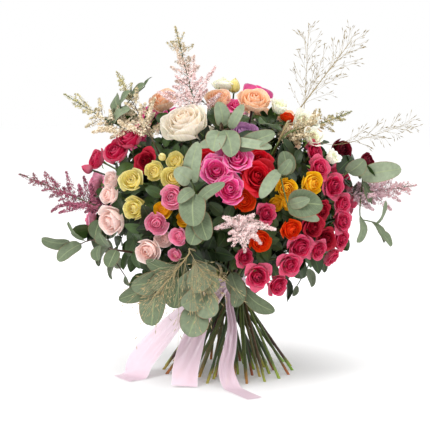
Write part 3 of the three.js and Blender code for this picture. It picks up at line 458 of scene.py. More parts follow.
@dataclass(frozen=True)
class PetalFinish:
    """A living petal: soft cells that scatter light, so matt with a faint velvet sheen.

    The colours run from the petal's base over its face to a lighter rim, which is a painted highlight, and
    deepen into the flower's heart, which is partly its deeper tone and partly painted shade in the cup.
    The guard petals outside are paler.
    """

    slot: str
    face: str
    # The rim colour is a painted highlight along the petals' top edges
    rim: str
    # The heart colour is partly the flower's deeper tone and partly painted shade in its cup
    heart: str
    base: str
    outside: str
    veins: float = 0.16
    glow: float = 0.34

    def material(self) -> bpy.types.Material:
        """The petal's material."""
        shader = Shader(self.slot)
        along = shader.trait("along")
        tint = shader.trait("tint")
        # The last stop, the rim, is a painted highlight along each petal's top edge
        stops = [(0.0, self.base), (0.4, self.face), (0.84, self.face), (1.0, self.rim)]
        blade_with_rim_highlight = shader.node("ValToRGB", {"Fac": along}, ramp=stops)
        outer = shader.node("MapRange", {0: shader.trait("depth"), 1: 0.7, 2: 0.9, 3: 0.0, 4: 0.8})
        fade = shader.node("MapRange", {0: along, 1: 0.6, 2: 1.0, 3: 1.0, 4: 0.1})
        pale = shader.node("Math", {0: outer, 1: fade}, operation="MULTIPLY")
        blade = shader.node("Mix", {0: pale, 6: blade_with_rim_highlight, 7: linear(self.outside)}, **COLOUR_MIX)
        # Painted shade in the cup: the inner petals take the heart colour, partly the flower's deeper tone,
        # most towards their bases and about half at their rims
        inner = shader.node("MapRange", {0: shader.trait("depth"), 1: 0.05, 2: 0.6, 3: 0.85, 4: 0.0})
        heart_shade_by_height = shader.node("MapRange", {0: along, 1: 0.8, 2: 1.0, 3: 1.0, 4: 0.45})
        share = shader.node("Math", {0: inner, 1: heart_shade_by_height}, operation="MULTIPLY")
        heart_toned_and_shaded = shader.node("Mix", {0: share, 6: blade, 7: linear(self.heart)}, **COLOUR_MIX)
        # Veins fan out along the petal, about 24 across it, and are a shade deeper than the face
        run = shader.node("Math", {0: shader.trait("across"), 1: 12.0}, operation="MULTIPLY")
        rise = shader.node("Math", {0: along, 1: 1.4}, operation="MULTIPLY")
        own = shader.node("Math", {0: tint, 1: 37.0}, operation="MULTIPLY")
        place = shader.node("CombineXYZ", {0: run, 1: rise, 2: own})
        fibre = shader.node("TexNoise", {"Vector": place, "Scale": 1.0, "Detail": 3.0, "Roughness": 0.6})
        shade = shader.node("MapRange", {0: fibre, 1: 0.35, 2: 0.7, 3: 1 - self.veins, 4: 1.1})
        bright = shader.node("MapRange", {0: tint, 1: 0.0, 2: 1.0, 3: 0.9, 4: 1.12})
        value = shader.node("Math", {0: shade, 1: bright}, operation="MULTIPLY")
        toned = shader.node("HueSaturation", {"Color": heart_toned_and_shaded, "Value": value})
        relief = shader.node("Bump", {"Height": fibre, "Strength": 0.25, "Distance": 0.0006})
        surface = shader.node(
            "BsdfPrincipled",
            {
                "Base Color": toned,
                "Roughness": 0.62,
                "Specular IOR Level": 0.28,
                "Subsurface Weight": 0.12,
                "Subsurface Radius": (0.004, 0.002, 0.0015),
                "Normal": relief,
            },
        )
        # A petal is half a millimetre thick and glows with the light behind it
        through = shader.node("BsdfTranslucent", {"Color": toned, "Normal": relief})
        return shader.finish(shader.node("MixShader", {0: self.glow, 1: surface, 2: through}))


@dataclass(frozen=True)
class LeafFinish:
    """A leaf blade: a waxy skin, matt on eucalyptus and a little glossy on roses, with a paler midrib."""

    slot: str
    young: str
    mature: str
    rib: str
    edge: str
    roughness: float
    edge_share: float

    def material(self) -> bpy.types.Material:
        """The leaf's material."""
        shader = Shader(self.slot)
        along = shader.trait("along")
        tint = shader.trait("tint")
        side = shader.node("Math", {0: shader.trait("across")}, operation="ABSOLUTE")
        tone = shader.node("ValToRGB", {"Fac": tint}, ramp=[(0.0, self.mature), (1.0, self.young)])
        # The bloom on the wax lies in patches a few millimetres wide
        where = shader.node("NewGeometry", {}).outputs["Position"]
        patch = shader.node("TexNoise", {"Vector": where, "Scale": 160.0, "Detail": 4.0})
        mottle = shader.node("MapRange", {0: patch, 1: 0.3, 2: 0.7, 3: 0.84, 4: 1.12})
        # Side veins leave the midrib at a slant, about nine on each side
        slant = shader.node("Math", {0: side, 1: -2.6, 2: 0.0}, operation="MULTIPLY_ADD")
        comb = shader.node("Math", {0: along, 1: 9.0, 2: slant}, operation="MULTIPLY_ADD")
        phase = shader.node("Math", {0: comb}, operation="FRACT")
        vein = shader.node("MapRange", {0: phase, 1: 0.0, 2: 0.14, 3: 0.28, 4: 0.0})
        rib = shader.node("MapRange", {0: side, 1: 0.02, 2: 0.08, 3: 0.6, 4: 0.0})
        line = shader.node("Math", {0: vein, 1: rib}, operation="MAXIMUM")
        edge = shader.node("MapRange", {0: side, 1: 1 - self.edge_share, 2: 1.0, 3: 0.0, 4: 0.75})
        toned = shader.node("HueSaturation", {"Color": tone, "Value": mottle})
        ribbed = shader.node("Mix", {0: line, 6: toned, 7: linear(self.rib)}, **COLOUR_MIX)
        edged = shader.node("Mix", {0: edge, 6: ribbed, 7: linear(self.edge)}, **COLOUR_MIX)
        relief = shader.node("Bump", {"Height": line, "Strength": 0.35, "Distance": 0.0005})
        surface = shader.node(
            "BsdfPrincipled",
            {
                "Base Color": edged,
                "Roughness": self.roughness,
                "Specular IOR Level": 0.35,
                "Subsurface Weight": 0.05,
                "Subsurface Radius": (0.001, 0.002, 0.0008),
                "Normal": relief,
            },
        )
        return shader.finish(surface)


@dataclass(frozen=True)
class StemFinish:
    """Fresh cut stems: a smooth green, olive, brown or wine-red bark, and a pale wet cut end."""

    slot: str
    tones: tuple[tuple[float, str], ...]
    cut: str
    feet: tuple[tuple[float, str], ...]

    def material(self) -> bpy.types.Material:
        """The stem's material."""
        shader = Shader(self.slot)
        tone = shader.node("ValToRGB", {"Fac": shader.trait("tint")}, ramp=self.tones)
        where = shader.node("NewGeometry", {}).outputs["Position"]
        # Streaks run along the bark, about 2 mm wide and 20 mm long
        stretched = shader.node("VectorMath", {0: where, 1: (1.0, 1.0, 0.12)}, operation="MULTIPLY")
        streak = shader.node("TexNoise", {"Vector": stretched, "Scale": 420.0, "Detail": 4.0})
        shade = shader.node("MapRange", {0: streak, 1: 0.3, 2: 0.7, 3: 0.72, 4: 1.2})
        # The last 20 mm above the cut are scraped and bleached by the water, each stem in its own tone
        height = shader.node("SeparateXYZ", {0: where}).outputs["Z"]
        scraped = shader.node("MapRange", {0: height, 1: 0.006, 2: 0.022, 3: 0.8, 4: 0.0})
        spread = shader.node("Math", {0: shader.trait("tint"), 1: 17.0}, operation="MULTIPLY")
        pick = shader.node("Math", {0: spread}, operation="FRACT")
        foot = shader.node("ValToRGB", {"Fac": pick}, ramp=self.feet)
        barked = shader.node("Mix", {0: scraped, 6: tone, 7: foot}, **COLOUR_MIX)
        toned = shader.node("HueSaturation", {"Color": barked, "Value": shade})
        ended = shader.node("Mix", {0: shader.trait("depth"), 6: toned, 7: linear(self.cut)}, **COLOUR_MIX)
        relief = shader.node("Bump", {"Height": streak, "Strength": 0.3, "Distance": 0.0005})
        surface = shader.node("BsdfPrincipled", {"Base Color": ended, "Roughness": 0.48, "Normal": relief})
        return shader.finish(surface)


@dataclass(frozen=True)
class FluffFinish:
    """Florets, spikelets or jute: fine matt fibre that shows as speckle, from a deep to a pale tone.

    Towards the tip of a plume the florets are still closed, in the colour of their buds.
    """

    slot: str
    deep: str
    pale: str
    closed: str
    roughness: float = 0.8

    def material(self) -> bpy.types.Material:
        """The fibre's material."""
        shader = Shader(self.slot)
        stops = [(0.0, self.deep), (1.0, self.pale)]
        tone = shader.node("ValToRGB", {"Fac": shader.trait("tint")}, ramp=stops)
        where = shader.node("NewGeometry", {}).outputs["Position"]
        grain = shader.node("TexNoise", {"Vector": where, "Scale": 700.0, "Detail": 2.0})
        shade = shader.node("MapRange", {0: grain, 1: 0.3, 2: 0.7, 3: 0.82, 4: 1.15})
        tip = shader.node("MapRange", {0: shader.trait("along"), 1: 0.42, 2: 0.8, 3: 0.0, 4: 0.9})
        budded = shader.node("Mix", {0: tip, 6: tone, 7: linear(self.closed)}, **COLOUR_MIX)
        toned = shader.node("HueSaturation", {"Color": budded, "Value": shade})
        look = {"Base Color": toned, "Roughness": self.roughness, "Sheen Weight": 0.2}
        return shader.finish(shader.node("BsdfPrincipled", look))


@dataclass(frozen=True)
class OrganzaFinish:
    """Organza ribbon: a plain weave of fine bright filament, sheer, with a soft sheen and a firm edge."""

    slot: str
    thread: str
    edge: str
    cover: float

    def material(self) -> bpy.types.Material:
        """The ribbon's material."""
        shader = Shader(self.slot)
        side = shader.node("Math", {0: shader.trait("across")}, operation="ABSOLUTE")
        edge = shader.node("MapRange", {0: side, 1: 0.93, 2: 0.97, 3: 0.0, 4: 1.0})
        # Threads of 0.25 mm are too fine to show, so the weave is drawn at 1 mm
        warp = shader.node("Math", {0: shader.trait("across"), 1: 20.0}, operation="MULTIPLY")
        weft = shader.node("Math", {0: shader.trait("along"), 1: 160.0}, operation="MULTIPLY")
        place = shader.node("CombineXYZ", {0: warp, 1: weft})
        weave = shader.node("TexChecker", {"Vector": place, "Scale": 1.0}).outputs["Fac"]
        colour = shader.node("Mix", {0: edge, 6: linear(self.thread), 7: linear(self.edge)}, **COLOUR_MIX)
        relief = shader.node("Bump", {"Height": weave, "Strength": 0.2, "Distance": 0.0002})
        surface = shader.node(
            "BsdfPrincipled",
            {
                "Base Color": colour,
                "Roughness": 0.42,
                "Alpha": self.cover,
                "Sheen Weight": 0.5,
                "Sheen Roughness": 0.3,
                "Normal": relief,
            },
        )
        return shader.finish(surface)


class Petals(Enum):
    """The petal colours of the flowers."""

    # The second colour of each, the rim, is a painted highlight on the petals' edges
    # The third colour of each, the heart, is partly the flower's deeper tone and partly painted shade in its
    # cup
    PEACH = PetalFinish("petals_peach", "#fed8b4", "#fff0e2", "#fab67e", "#f8dcae", "#fde2ca")
    WHITE = PetalFinish("petals_white", "#fdfcf2", "#fffffa", "#f2f5d2", "#d8e0a4", "#fafae8", 0.1)
    HOT_PINK = PetalFinish("petals_hot_pink", "#f85aa8", "#fcaed0", "#ea388a", "#e25aa2", "#f078b2")
    CREAM = PetalFinish("petals_cream", "#fbf3e6", "#fffbf4", "#f9e3c4", "#e4e6b4", "#f6f4e2", 0.1)
    ORANGE = PetalFinish("petals_orange", "#f03e0a", "#f8641a", "#e42e04", "#f89418", "#f65e14")
    LAVENDER = PetalFinish("petals_lavender", "#bd84b4", "#dab2d2", "#a0669e", "#b494b4", "#c08cb8")
    RED = PetalFinish("petals_red", "#de0820", "#ea3044", "#b20418", "#a40414", "#d20a1e")
    YELLOW = PetalFinish("petals_yellow", "#ffd01c", "#ffe060", "#ffba0c", "#f4cc30", "#fed022")
    RASPBERRY = PetalFinish("petals_raspberry", "#d82056", "#e86488", "#b81442", "#e6a6a8", "#e2889e")
    CRIMSON = PetalFinish("petals_crimson", "#ac0428", "#c01c38", "#800418", "#a83044", "#aa1230")
    BURGUNDY = PetalFinish("petals_burgundy", "#740a22", "#8c2038", "#4a0516", "#641824", "#781426")
    PALE_YELLOW = PetalFinish("petals_pale_yellow", "#f8ec96", "#fcf6ca", "#f4de72", "#d8de84", "#f2eaa6")
    PINK = PetalFinish("petals_pink", "#fc9ec2", "#fed0e0", "#ea5a88", "#f6d8c4", "#f9bace")
    BLUSH = PetalFinish("petals_blush", "#fae2dc", "#fdf1ed", "#f4c8bc", "#f2e6c6", "#f8e6e0", 0.1)


EUCALYPTUS = LeafFinish("eucalyptus_leaf", "#8e9a80", "#3e4f2d", "#94a074", "#94603e", 0.6, 0.07)
FOLIAGE = LeafFinish("foliage", "#374f20", "#13220d", "#4a642e", "#22301a", 0.42, 0.04)
SEPAL = LeafFinish("sepal", "#8fae58", "#64873c", "#a9c274", "#7c9a4c", 0.5, 0.04)
STEM = StemFinish(
    "stem",
    (
        (0.0, "#2c411c"),
        (0.25, "#414e1e"),
        (0.45, "#5e6e30"),
        (0.6, "#524024"),
        (0.78, "#40271a"),
        (1.0, "#461a26"),
    ),
    "#d8bf86",
    ((0.0, "#b5762e"), (0.3, "#86c43a"), (0.55, "#c9a24a"), (0.75, "#b4552a"), (1.0, "#7a3a2a")),
)
STRAW = FluffFinish("grass_straw", "#6c5c34", "#b8a472", "#8f7c4c", 0.55)
JUTE = FluffFinish("twine", "#8c7346", "#c8ad78", "#b0935c")
ORGANZA = OrganzaFinish("ribbon", "#eccfdd", "#f4e1eb", 0.8)


class Plume(Enum):
    """The floret colours of the astilbes."""

    PALE = FluffFinish("astilbe_pale", "#e3b9b8", "#fbeeea", "#b3a468")
    CREAM = FluffFinish("astilbe_cream", "#cbb48c", "#f7ecd6", "#b3ab6a")
    CRIMSON = FluffFinish("astilbe_crimson", "#7e2440", "#c0708a", "#8a4452")
    LILAC = FluffFinish("astilbe_lilac", "#c795a2", "#f1d9dc", "#d0a2a4")
    BEIGE = FluffFinish("astilbe_beige", "#ab9066", "#e9dab8", "#a39a5a")


Finish = PetalFinish | LeafFinish | StemFinish | FluffFinish | OrganzaFinish
MADE: dict[str, bpy.types.Material] = {}


def worn(finish: Finish) -> bpy.types.Material:
    """The material of a finish, made once."""
    if finish.slot not in MADE:
        MADE[finish.slot] = finish.material()
    return MADE[finish.slot]


def seat(draft: MeshDraft, name: str, node: str, *finishes: Finish) -> bpy.types.Object:
    """Makes a piece and puts it on the frame in place of a node.

    Args:
        draft: Its mesh.
        name: Its name.
        node: The node that it stands for.
        *finishes: Its finishes, one for each layer.

    Returns:
        The piece.
    """
    piece = draft.build(name, [worn(finish) for finish in finishes])
    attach(piece, "root")
    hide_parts(node)
    LOG.info("%s: %d faces", piece.name, len(piece.data.polygons))
    return piece


Profile = tuple[Pair, ...]


@dataclass(frozen=True)
class PetalStyle:
    """How the petals of a kind of flower lie, in flower widths and radians.

    Inner and outer are the control points of the first and last petal's profile, as radius and height.
    Spread, drop, roll and lean run from the innermost petal to the outermost. From shoulder on, the
    fields shape every petal's skin: how its rim drops to the sides, where its tip and edges curl and
    how far, its ruffles, its lean over the next petal, its point and its narrowing.
    """

    base: float
    count: int
    inner: Profile
    outer: Profile
    spread: Pair
    drop: Pair
    roll: Pair
    ruffle: float
    crowding: float = 0.85
    grid: tuple[int, int] = (8, 9)
    shoulder: float = 2.4
    curl: Pair = (0.72, 1.0)
    curl_play: float = 0.4
    edge: Pair = (0.3, 0.9)
    edge_out: float = 0.4
    edge_down: float = 0.7
    ruffles: float = 5.2
    lean: Pair = (0.02, 0.05)
    point_width: float = 0.3
    point: float = 0.65
    narrowing: float = 0.12


OPEN_ROSE = PetalStyle(
    base=-0.38,
    count=18,
    inner=((0.02, -0.34), (0.12, -0.2), (0.13, 0.07), (0.012, 0.19)),
    outer=((0.03, -0.36), (0.42, -0.4), (0.48, -0.1), (0.44, 0.03)),
    spread=(1.5, 0.86),
    drop=(0.03, 0.3),
    roll=(0.012, 0.13),
    ruffle=0.014,
    crowding=1.1,
)
CUPPED_ROSE = PetalStyle(
    base=-0.38,
    count=15,
    inner=((0.02, -0.34), (0.14, -0.2), (0.15, 0.07), (0.01, 0.2)),
    outer=((0.03, -0.38), (0.5, -0.4), (0.56, 0.0), (0.43, 0.12)),
    spread=(1.5, 1.0),
    drop=(0.03, 0.26),
    roll=(0.01, 0.07),
    ruffle=0.01,
    crowding=1.15,
)
GARDEN_ROSE = replace(
    OPEN_ROSE,
    count=30,
    outer=((0.03, -0.46), (0.48, -0.5), (0.56, -0.1), (0.45, 0.04)),
    roll=(0.012, 0.08),
    ruffle=0.016,
    crowding=1.0,
    spread=(1.4, 0.8),
)
LISIANTHUS = PetalStyle(
    base=-0.5,
    count=13,
    inner=((0.03, -0.46), (0.2, -0.44), (0.26, -0.1), (0.16, 0.16)),
    outer=((0.03, -0.5), (0.36, -0.5), (0.36, 0.0), (0.5, 0.24)),
    spread=(1.1, 0.86),
    drop=(0.26, 0.4),
    roll=(0.02, 0.05),
    ruffle=0.024,
)
BUD = PetalStyle(
    base=-0.55,
    count=7,
    inner=((0.02, -0.5), (0.4, -0.4), (0.34, 0.3), (0.02, 0.7)),
    outer=((0.02, -0.52), (0.62, -0.5), (0.5, 0.2), (0.12, 0.56)),
    spread=(1.4, 1.15),
    drop=(0.1, 0.22),
    roll=(0.0, 0.02),
    ruffle=0.0,
)
GARDEN_ROSE_WIDTH = 58.0

# How far a flower and each of its petals may differ from the next
OPENNESS = (0.98, 1.2)
NOD = 0.14
BEARING_PLAY = 0.12
SHARE_PLAY = (0.97, 1.03)


@dataclass(frozen=True)
class Bloom:
    """One flower: the middle of its rim, its width and the way that it faces."""

    style: PetalStyle
    point: Array
    width: float
    facing: Array

    @property
    def base(self) -> Array:
        """Where its stalk meets it."""
        return self.point + self.facing * self.style.base * self.width

    def petal(
        self, share: float, bearing: float, openness: float, rng: Draw, basis: Basis, draft: MeshDraft
    ) -> None:
        """Adds one petal.

        Args:
            share: 0 on the innermost petal and 1 on the outermost.
            bearing: Its middle round the flower's axis.
            openness: How wide the flower has opened, against its width as read.
            rng: The draw of its small differences.
            basis: The flower's axes.
            draft: The mesh that it goes into.
        """
        style = self.style
        rows, columns = style.grid
        v = np.linspace(0.0, 1.0, rows)[:, None]
        u = np.linspace(-1.0, 1.0, columns)[None, :]
        height = v * (1 - lerp(*style.drop, share) * np.abs(u) ** style.shoulder)
        controls = [
            np.array([lerp(a[0], b[0] * openness, share), lerp(a[1], b[1], share)])
            for a, b in zip(style.inner, style.outer)
        ]
        profile = cubic(controls, height[..., None])
        radius, rise = profile[..., 0], profile[..., 1]
        curl = smooth(*style.curl, height) * (1 + rng.uniform(-style.curl_play, style.curl_play))
        edge = np.abs(u) ** 3 * smooth(*style.edge, v)
        roll = lerp(*style.roll, share)
        wave = style.ruffle * np.sin(u * style.ruffles + rng.uniform(*PHASES)) * v**2
        inner_lean, outer_lean = style.lean
        lean = outer_lean * share * u + inner_lean * u * (1 - share)
        point = np.exp(-((u / style.point_width) ** 2)) * curl * roll * style.point
        radius = radius * (1 + lean) + curl * roll + edge * roll * style.edge_out + point + wave
        rise = rise - curl**2 * roll * 0.8 - edge * roll * style.edge_down + wave * 0.6
        angle = bearing + u * lerp(*style.spread, share) * (1 - style.narrowing * v**4)
        local = np.stack([radius * np.cos(angle), radius * np.sin(angle), rise], axis=-1) * self.width
        draft.grid(
            self.point + basis.place(local),
            along=1 - (1 - v) * (1 - 0.6 * np.abs(u) ** 5),
            across=u,
            depth=share,
            tint=rng.uniform(0.0, 1.0),
        )

    def dress(self, draft: MeshDraft, rng: Draw) -> None:
        """Adds the flower's petals, from the heart outwards by the golden angle."""
        nodding = Basis.along(unit(self.facing + rng.normal(size=3) * NOD))
        basis = nodding.turned(rng.uniform(0, math.tau))
        count = self.style.count
        openness = rng.uniform(*OPENNESS)
        for index in range(count):
            share = (index / (count - 1)) ** self.style.crowding
            bearing = index * GOLDEN_ANGLE + rng.uniform(-BEARING_PLAY, BEARING_PLAY)
            share = min(1.0, share * rng.uniform(*SHARE_PLAY))
            self.petal(share, bearing, openness, rng, basis, draft)


def bloom(style: PetalStyle, point: Array, width: float, lean: float = BLOOM_LEAN) -> Bloom:
    """A flower read by its place and width, which faces outwards and leans to the front.

    Args:
        style: How its petals lie.
        point: The middle of its rim.
        width: Its width as read.
        lean: How far it leans to the front.

    Returns:
        The flower.
    """
    at_front = point[1] < 0
    facing = unit(HEAD.outward(point) + FRONT * (0.0 if point[1] > 0 else lean))
    return Bloom(style, point, width * (VIEW.scale(point) if at_front else 1.0), facing)


def rose(point: Array, width: float, lean: float = BLOOM_LEAN) -> Bloom:
    """A spray rose that is wide open, or a garden rose where it is wide."""
    return bloom(GARDEN_ROSE if width > GARDEN_ROSE_WIDTH else OPEN_ROSE, point, width, lean)


def cup(point: Array, width: float, lean: float = BLOOM_LEAN) -> Bloom:
    """A spray rose that is still cupped."""
    return bloom(CUPPED_ROSE, point, width, lean)


def bell(point: Array, width: float) -> Bloom:
    """A lisianthus bell."""
    return bloom(LISIANTHUS, point, width)


def bud(point: Array, width: float) -> Bloom:
    """A bud."""
    return bloom(BUD, point, width)


class BloomRoom:
    """The balls that the flowers fill, which no foliage leaf passes through.

    In flower widths, a ball's middle lies at a depth behind the rim, and its radius is its reach.
    """

    depth = 0.12
    reach = 0.48
    centres = np.zeros((0, 3))
    radii = np.zeros(0)

    @classmethod
    def fill(cls, blooms: Sequence[Bloom]) -> None:
        """Sets the balls of all the flowers."""
        cls.centres = np.array([flower.point - flower.facing * cls.depth * flower.width for flower in blooms])
        cls.radii = np.array([flower.width * cls.reach for flower in blooms])

    @classmethod
    def holds(cls, points: Array) -> bool:
        """Whether any of the points lies in a flower."""
        gaps = np.linalg.norm(points[:, None] - cls.centres[None], axis=2)
        return bool((gaps < cls.radii).any())


@dataclass(frozen=True)
class Blade:
    """One leaf: its base, tip, width and the way that its face looks."""

    base: Array
    tip: Array
    width: float
    normal: Array
    arch: float = 0.12
    fold: float = 0.1
    shape: Pair = (0.44, 0.46)
    grid: tuple[int, int] = (12, 7)
    tone: float | None = None
    sway: float = 0.06
    wave: float = 0.02
    waves: float = 9.0

    def dress(self, draft: MeshDraft, rng: Draw, layer: Layer, tint: float) -> None:
        """Adds the leaf's skin.

        Args:
            draft: The mesh that it goes into.
            rng: The draw of its waves.
            layer: The finish of its faces.
            tint: Its tone between mature and young.
        """
        axis = self.tip - self.base
        length = float(np.linalg.norm(axis))
        forward = axis / length
        side = unit(np.cross(forward, self.normal))
        above = np.cross(side, forward)
        rows, columns = self.grid
        s = (0.5 - 0.5 * np.cos(np.linspace(0.0, math.pi, rows)))[:, None]
        c = np.linspace(-1.0, 1.0, columns)[None, :]
        a, b = self.shape
        peak = a / (a + b)
        outline = (s / peak) ** a * ((1 - s) / (1 - peak)) ** b
        outline = np.maximum(outline * smooth(0.0, 0.1, s + 0.03), 0.02 * (1 - s))
        bend = rng.uniform(-self.sway, self.sway) * length * np.sin(math.pi * s)
        wave = self.wave * length * np.sin(s * self.waves + rng.uniform(*PHASES))
        wave = wave * np.abs(c) ** 1.5 * np.sign(c + 0.3)
        lift = self.arch * length * np.sin(math.pi * s) + self.fold * self.width * np.abs(c) * outline + wave
        points = (
            self.base
            + forward * (s * length)[..., None]
            + side * (c * outline * self.width / 2 + bend)[..., None]
            + above * lift[..., None]
        )
        draft.grid(points, layer, along=s, across=c, tint=tint)


# The forms of the small blades, and the places of a leaflet that are kept clear of flowers
LEAFLET_FORM = {"arch": 0.06, "fold": 0.16, "shape": (0.5, 0.72), "grid": (8, 5)}
SEPAL_FORM = {"arch": -0.2, "fold": 0.12, "shape": (0.35, 1.1), "grid": (6, 3)}
MARK_PLACES = (0.3, 0.6, 1.0)
MARK_ASIDE = 0.3


@dataclass(frozen=True)
class RoseLeaf:
    """A rose leaf: a petiole with a leaflet at its end and two pairs below it."""

    base: Array
    way: Array
    size: float
    reach: float = 0.62
    slim: float = 0.62
    spots: tuple[tuple[int, float, float], ...] = (
        (3, 0.0, 0.46),
        (2, 1.0, 0.38),
        (2, -1.0, 0.38),
        (1, 1.0, 0.3),
        (1, -1.0, 0.3),
    )
    places: tuple[float, ...] = (0, 0.35, 0.7, 1)
    petiole: tuple[float, ...] = (0.9, 0.7, 0.6, 0.5)
    tilt: float = 0.25
    sag: Pair = (-0.12, 0.1)
    rise: Pair = (-0.2, 0.25)
    onwards: float = 0.45
    size_play: Pair = (0.85, 1.15)
    tone_play: float = 0.15
    tries: tuple[float, ...] = (1.0, 0.66)

    def dress(self, draft: MeshDraft, layer: Layer, rng: Draw) -> None:
        """Adds the leaf, without the leaflets that would pass through a flower.

        Args:
            draft: The mesh that it goes into.
            layer: The finish of its leaflets.
            rng: The draw of its differences.
        """
        out = unit(HEAD.outward(self.base + self.way * self.size) + rng.normal(size=3) * self.tilt)
        side = unit(np.cross(self.way, out))
        run = self.way * self.size * self.reach
        sag = out * rng.uniform(*self.sag) * self.size
        path = np.array([self.base + run * t + sag * t * t for t in self.places])
        if BloomRoom.holds(path):
            return
        tint = rng.uniform(0.0, 1.0)
        draft.tube(path, np.array(self.petiole), 4, tint=0.1)
        for spot, hand, share in self.spots:
            start = path[spot]
            lift = out * rng.uniform(*self.rise)
            turn = unit(self.way * (1.0 if hand == 0 else self.onwards) + side * hand + lift)
            full = self.size * share * rng.uniform(*self.size_play)
            own = min(1.0, max(0.0, tint + rng.uniform(-self.tone_play, self.tone_play)))
            for shrink in self.tries:
                length = full * shrink
                tip = start + turn * length
                edge = unit(np.cross(turn, out)) * MARK_ASIDE * length * self.slim
                marks = [lerp(start, tip, place) + edge * way for place in MARK_PLACES for way in (-1, 1)]
                if not BloomRoom.holds(np.array(marks)):
                    blade = Blade(start, tip, length * self.slim, out, **LEAFLET_FORM)
                    blade.dress(draft, rng, layer, own)
                    break


def bar_sway(path: Array, rng: Draw, size: float) -> Array:
    """A path with a slow sideways sway that is none at its ends."""
    share = np.linspace(0.0, 1.0, len(path))[:, None]
    way = rng.normal(size=3)
    return path + way * size * np.sin(math.pi * share) * np.sin(3 * share + rng.uniform(*PHASES))


@dataclass
class Item:
    """Anything with a stem through the tie. Each kind says what its stem aims at and dresses the rest.

    Its line below the junction is empty until it is tied in.
    """

    name: str
    straight: float = field(default=STRAIGHT_ABOVE, kw_only=True)
    below: Array = field(default_factory=lambda: np.zeros((0, 3)), kw_only=True)

    def aims(self) -> list[Array]:
        """The points that its stem aims at the middle of."""
        raise NotImplementedError

    def dress(self, rng: Draw) -> None:
        """Makes its pieces."""
        raise NotImplementedError

    def junction(self) -> Array:
        """Where its stem ends and its branches begin."""
        return HUB + (np.mean(self.aims(), axis=0) - HUB) * JUNCTION_SHARE

    def stem(self, draft: MeshDraft, onwards: Array, end_radius: float, rng: Draw) -> None:
        """Adds the main stem from its cut foot, with swollen nodes and a level cut end.

        Args:
            draft: The mesh that it goes into.
            onwards: The points of its line past the junction.
            end_radius: Its radius at the end.
            rng: The draw of its nodes.
        """
        path = np.vstack([self.below, onwards])
        lengths = np.concatenate([[0.0], np.cumsum(np.linalg.norm(np.diff(path, axis=0), axis=1))])
        steps = np.arange(0.0, lengths[-1], STEM_STEP)
        even = np.stack([np.interp(steps, lengths, path[:, axis]) for axis in range(3)], axis=1)
        even = np.vstack([even, path[-1]])
        share = np.linspace(0.0, 1.0, len(even))
        thinner = (end_radius - STEM_RADIUS) * (share - TAPER_FROM) / TAPER_RUN
        radii = np.where(share < TAPER_FROM, STEM_RADIUS, STEM_RADIUS + thinner)
        pitch = rng.uniform(*NODE_PITCH)
        start = rng.uniform(0, pitch)
        past = (np.arange(len(even)) - start) % pitch - pitch / 2
        swell = np.exp(-(past**2) / NODE_LENGTH)
        draft.tube(even, radii * (BARK + NODE_SWELL * swell), 8, level=0.0, tint=rng.uniform(0.0, 1.0))


# The calyx under a flower in flower widths: its places along the axis and its radii
CALYX_PLACES = (-0.04, 0.0, 0.04, 0.07)
CALYX_RADII = (0.035, 0.075, 0.085, 0.04)
CALYX_SINK = 0.05
SEPALS = 5
SEPAL_LENGTH = 0.34
SEPAL_WIDTH = 0.12
SEPAL_CURL = (-0.25, 0.2)

# The rose leaves of a stalk, from a share of it over a run of it, and how far they turn aside and out
ROSE_LEAF_SIZES = (62, 88)
LEAVES_FROM = 0.1
LEAVES_RUN = 0.7
LEAF_ASIDE = 0.85
LEAF_OUT = (0.1, 0.5)

# The lines of the stalks
MAIN_STALK_STEPS = 10
STALK_STEPS = 9
STALK_PULL = 0.3


